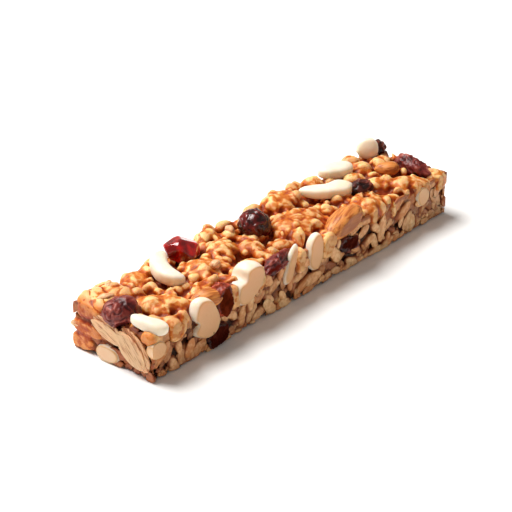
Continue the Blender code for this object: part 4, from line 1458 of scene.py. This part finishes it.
def makePuffs():
    shape = bmesh.new()
    for place, size, turns in puffs["rows"]:
        addEllipsoid(shape, size, place, turns, 28, 20)
    shape.normal_update()
    for point in shape.verts:
        point.co += point.normal * noise.noise(point.co / 1.3) * puffs["uneven"]
    keepOwn(shape)
    finishPiece(newPiece("palePuffs", shape), flakeMaterial, "binder", "bar")


makeFlakes()
makePuffs()
print("flakes and puffs made")


view = {
    "azimuth": -49.28, "elevation": 28.03, "distance": 469.5,
    "right": -4.81, "up": 5.11, "lens": 119.96, "sensor": 36.0,
}


def makeCamera():
    azimuth, elevation = math.radians(view["azimuth"]), math.radians(view["elevation"])
    back = Vector((
        math.sin(azimuth) * math.cos(elevation), -math.cos(azimuth) * math.cos(elevation),
        math.sin(elevation),
    ))
    right = Vector((math.cos(azimuth), math.sin(azimuth), 0.0))
    up = back.cross(right)
    lens = bpy.data.cameras.new("camera")
    lens.lens = view["lens"]
    lens.sensor_width = view["sensor"]
    lens.clip_start = 0.01
    camera = bpy.data.objects.new("camera", lens)
    bpy.context.scene.collection.objects.link(camera)
    stand = (right * view["right"] + up * view["up"] + back * view["distance"]) * mm + barMiddle
    camera.matrix_world = Matrix.Translation(stand) @ Matrix((right, up, back)).transposed().to_4x4()
    bpy.context.scene.camera = camera


studio = {
    "floor": sRgb(252, 252, 252), "floorHalf": 3.0, "floorRoughness": 0.9, "floorLevel": -0.0002,
    "key": {"place": (-0.13, 0.43, 0.73), "size": 0.6, "power": 12.4, "tint": (1.0, 0.99, 0.97)},
    "fill": {"place": (0.15, -0.75, 0.30), "size": 0.6, "power": 0.4, "tint": (1.0, 0.86, 0.70)},
    "front": {"place": (-0.75, -0.25, 0.25), "size": 0.5, "power": 0.02, "tint": (1.0, 0.90, 0.80)},
    "room": 0.24,
    "roomTint": (1.0, 0.94, 0.87, 1.0),
}


def makeStudio():
    shape = bmesh.new()
    bmesh.ops.create_grid(shape, x_segments=1, y_segments=1, size=studio["floorHalf"])
    floor = newPiece("floor", shape)
    paper, _, shader = finishBase("floor paper", studio["floorRoughness"])
    shader.inputs["Base Color"].default_value = studio["floor"]
    floor.data.materials.append(paper)
    floor.location.z = studio["floorLevel"]
    for name in ("key", "fill", "front"):
        look = studio[name]
        lamp = bpy.data.lights.new(name, "AREA")
        lamp.shape = "DISK"
        lamp.size = look["size"]
        lamp.energy = look["power"]
        lamp.color = look["tint"]
        holder = bpy.data.objects.new(name, lamp)
        bpy.context.scene.collection.objects.link(holder)
        holder.location = look["place"]
        away = Vector(look["place"]) - Vector((0, 0, 0.01))
        holder.rotation_euler = away.to_track_quat("Z", "Y").to_euler()
    room = bpy.data.worlds.new("room")
    room.use_nodes = True
    room.node_tree.nodes["Background"].inputs["Color"].default_value = studio["roomTint"]
    room.node_tree.nodes["Background"].inputs["Strength"].default_value = studio["room"]
    bpy.context.scene.world = room
    bpy.context.scene.view_settings.view_transform = "Standard"


makeCamera()
makeStudio()
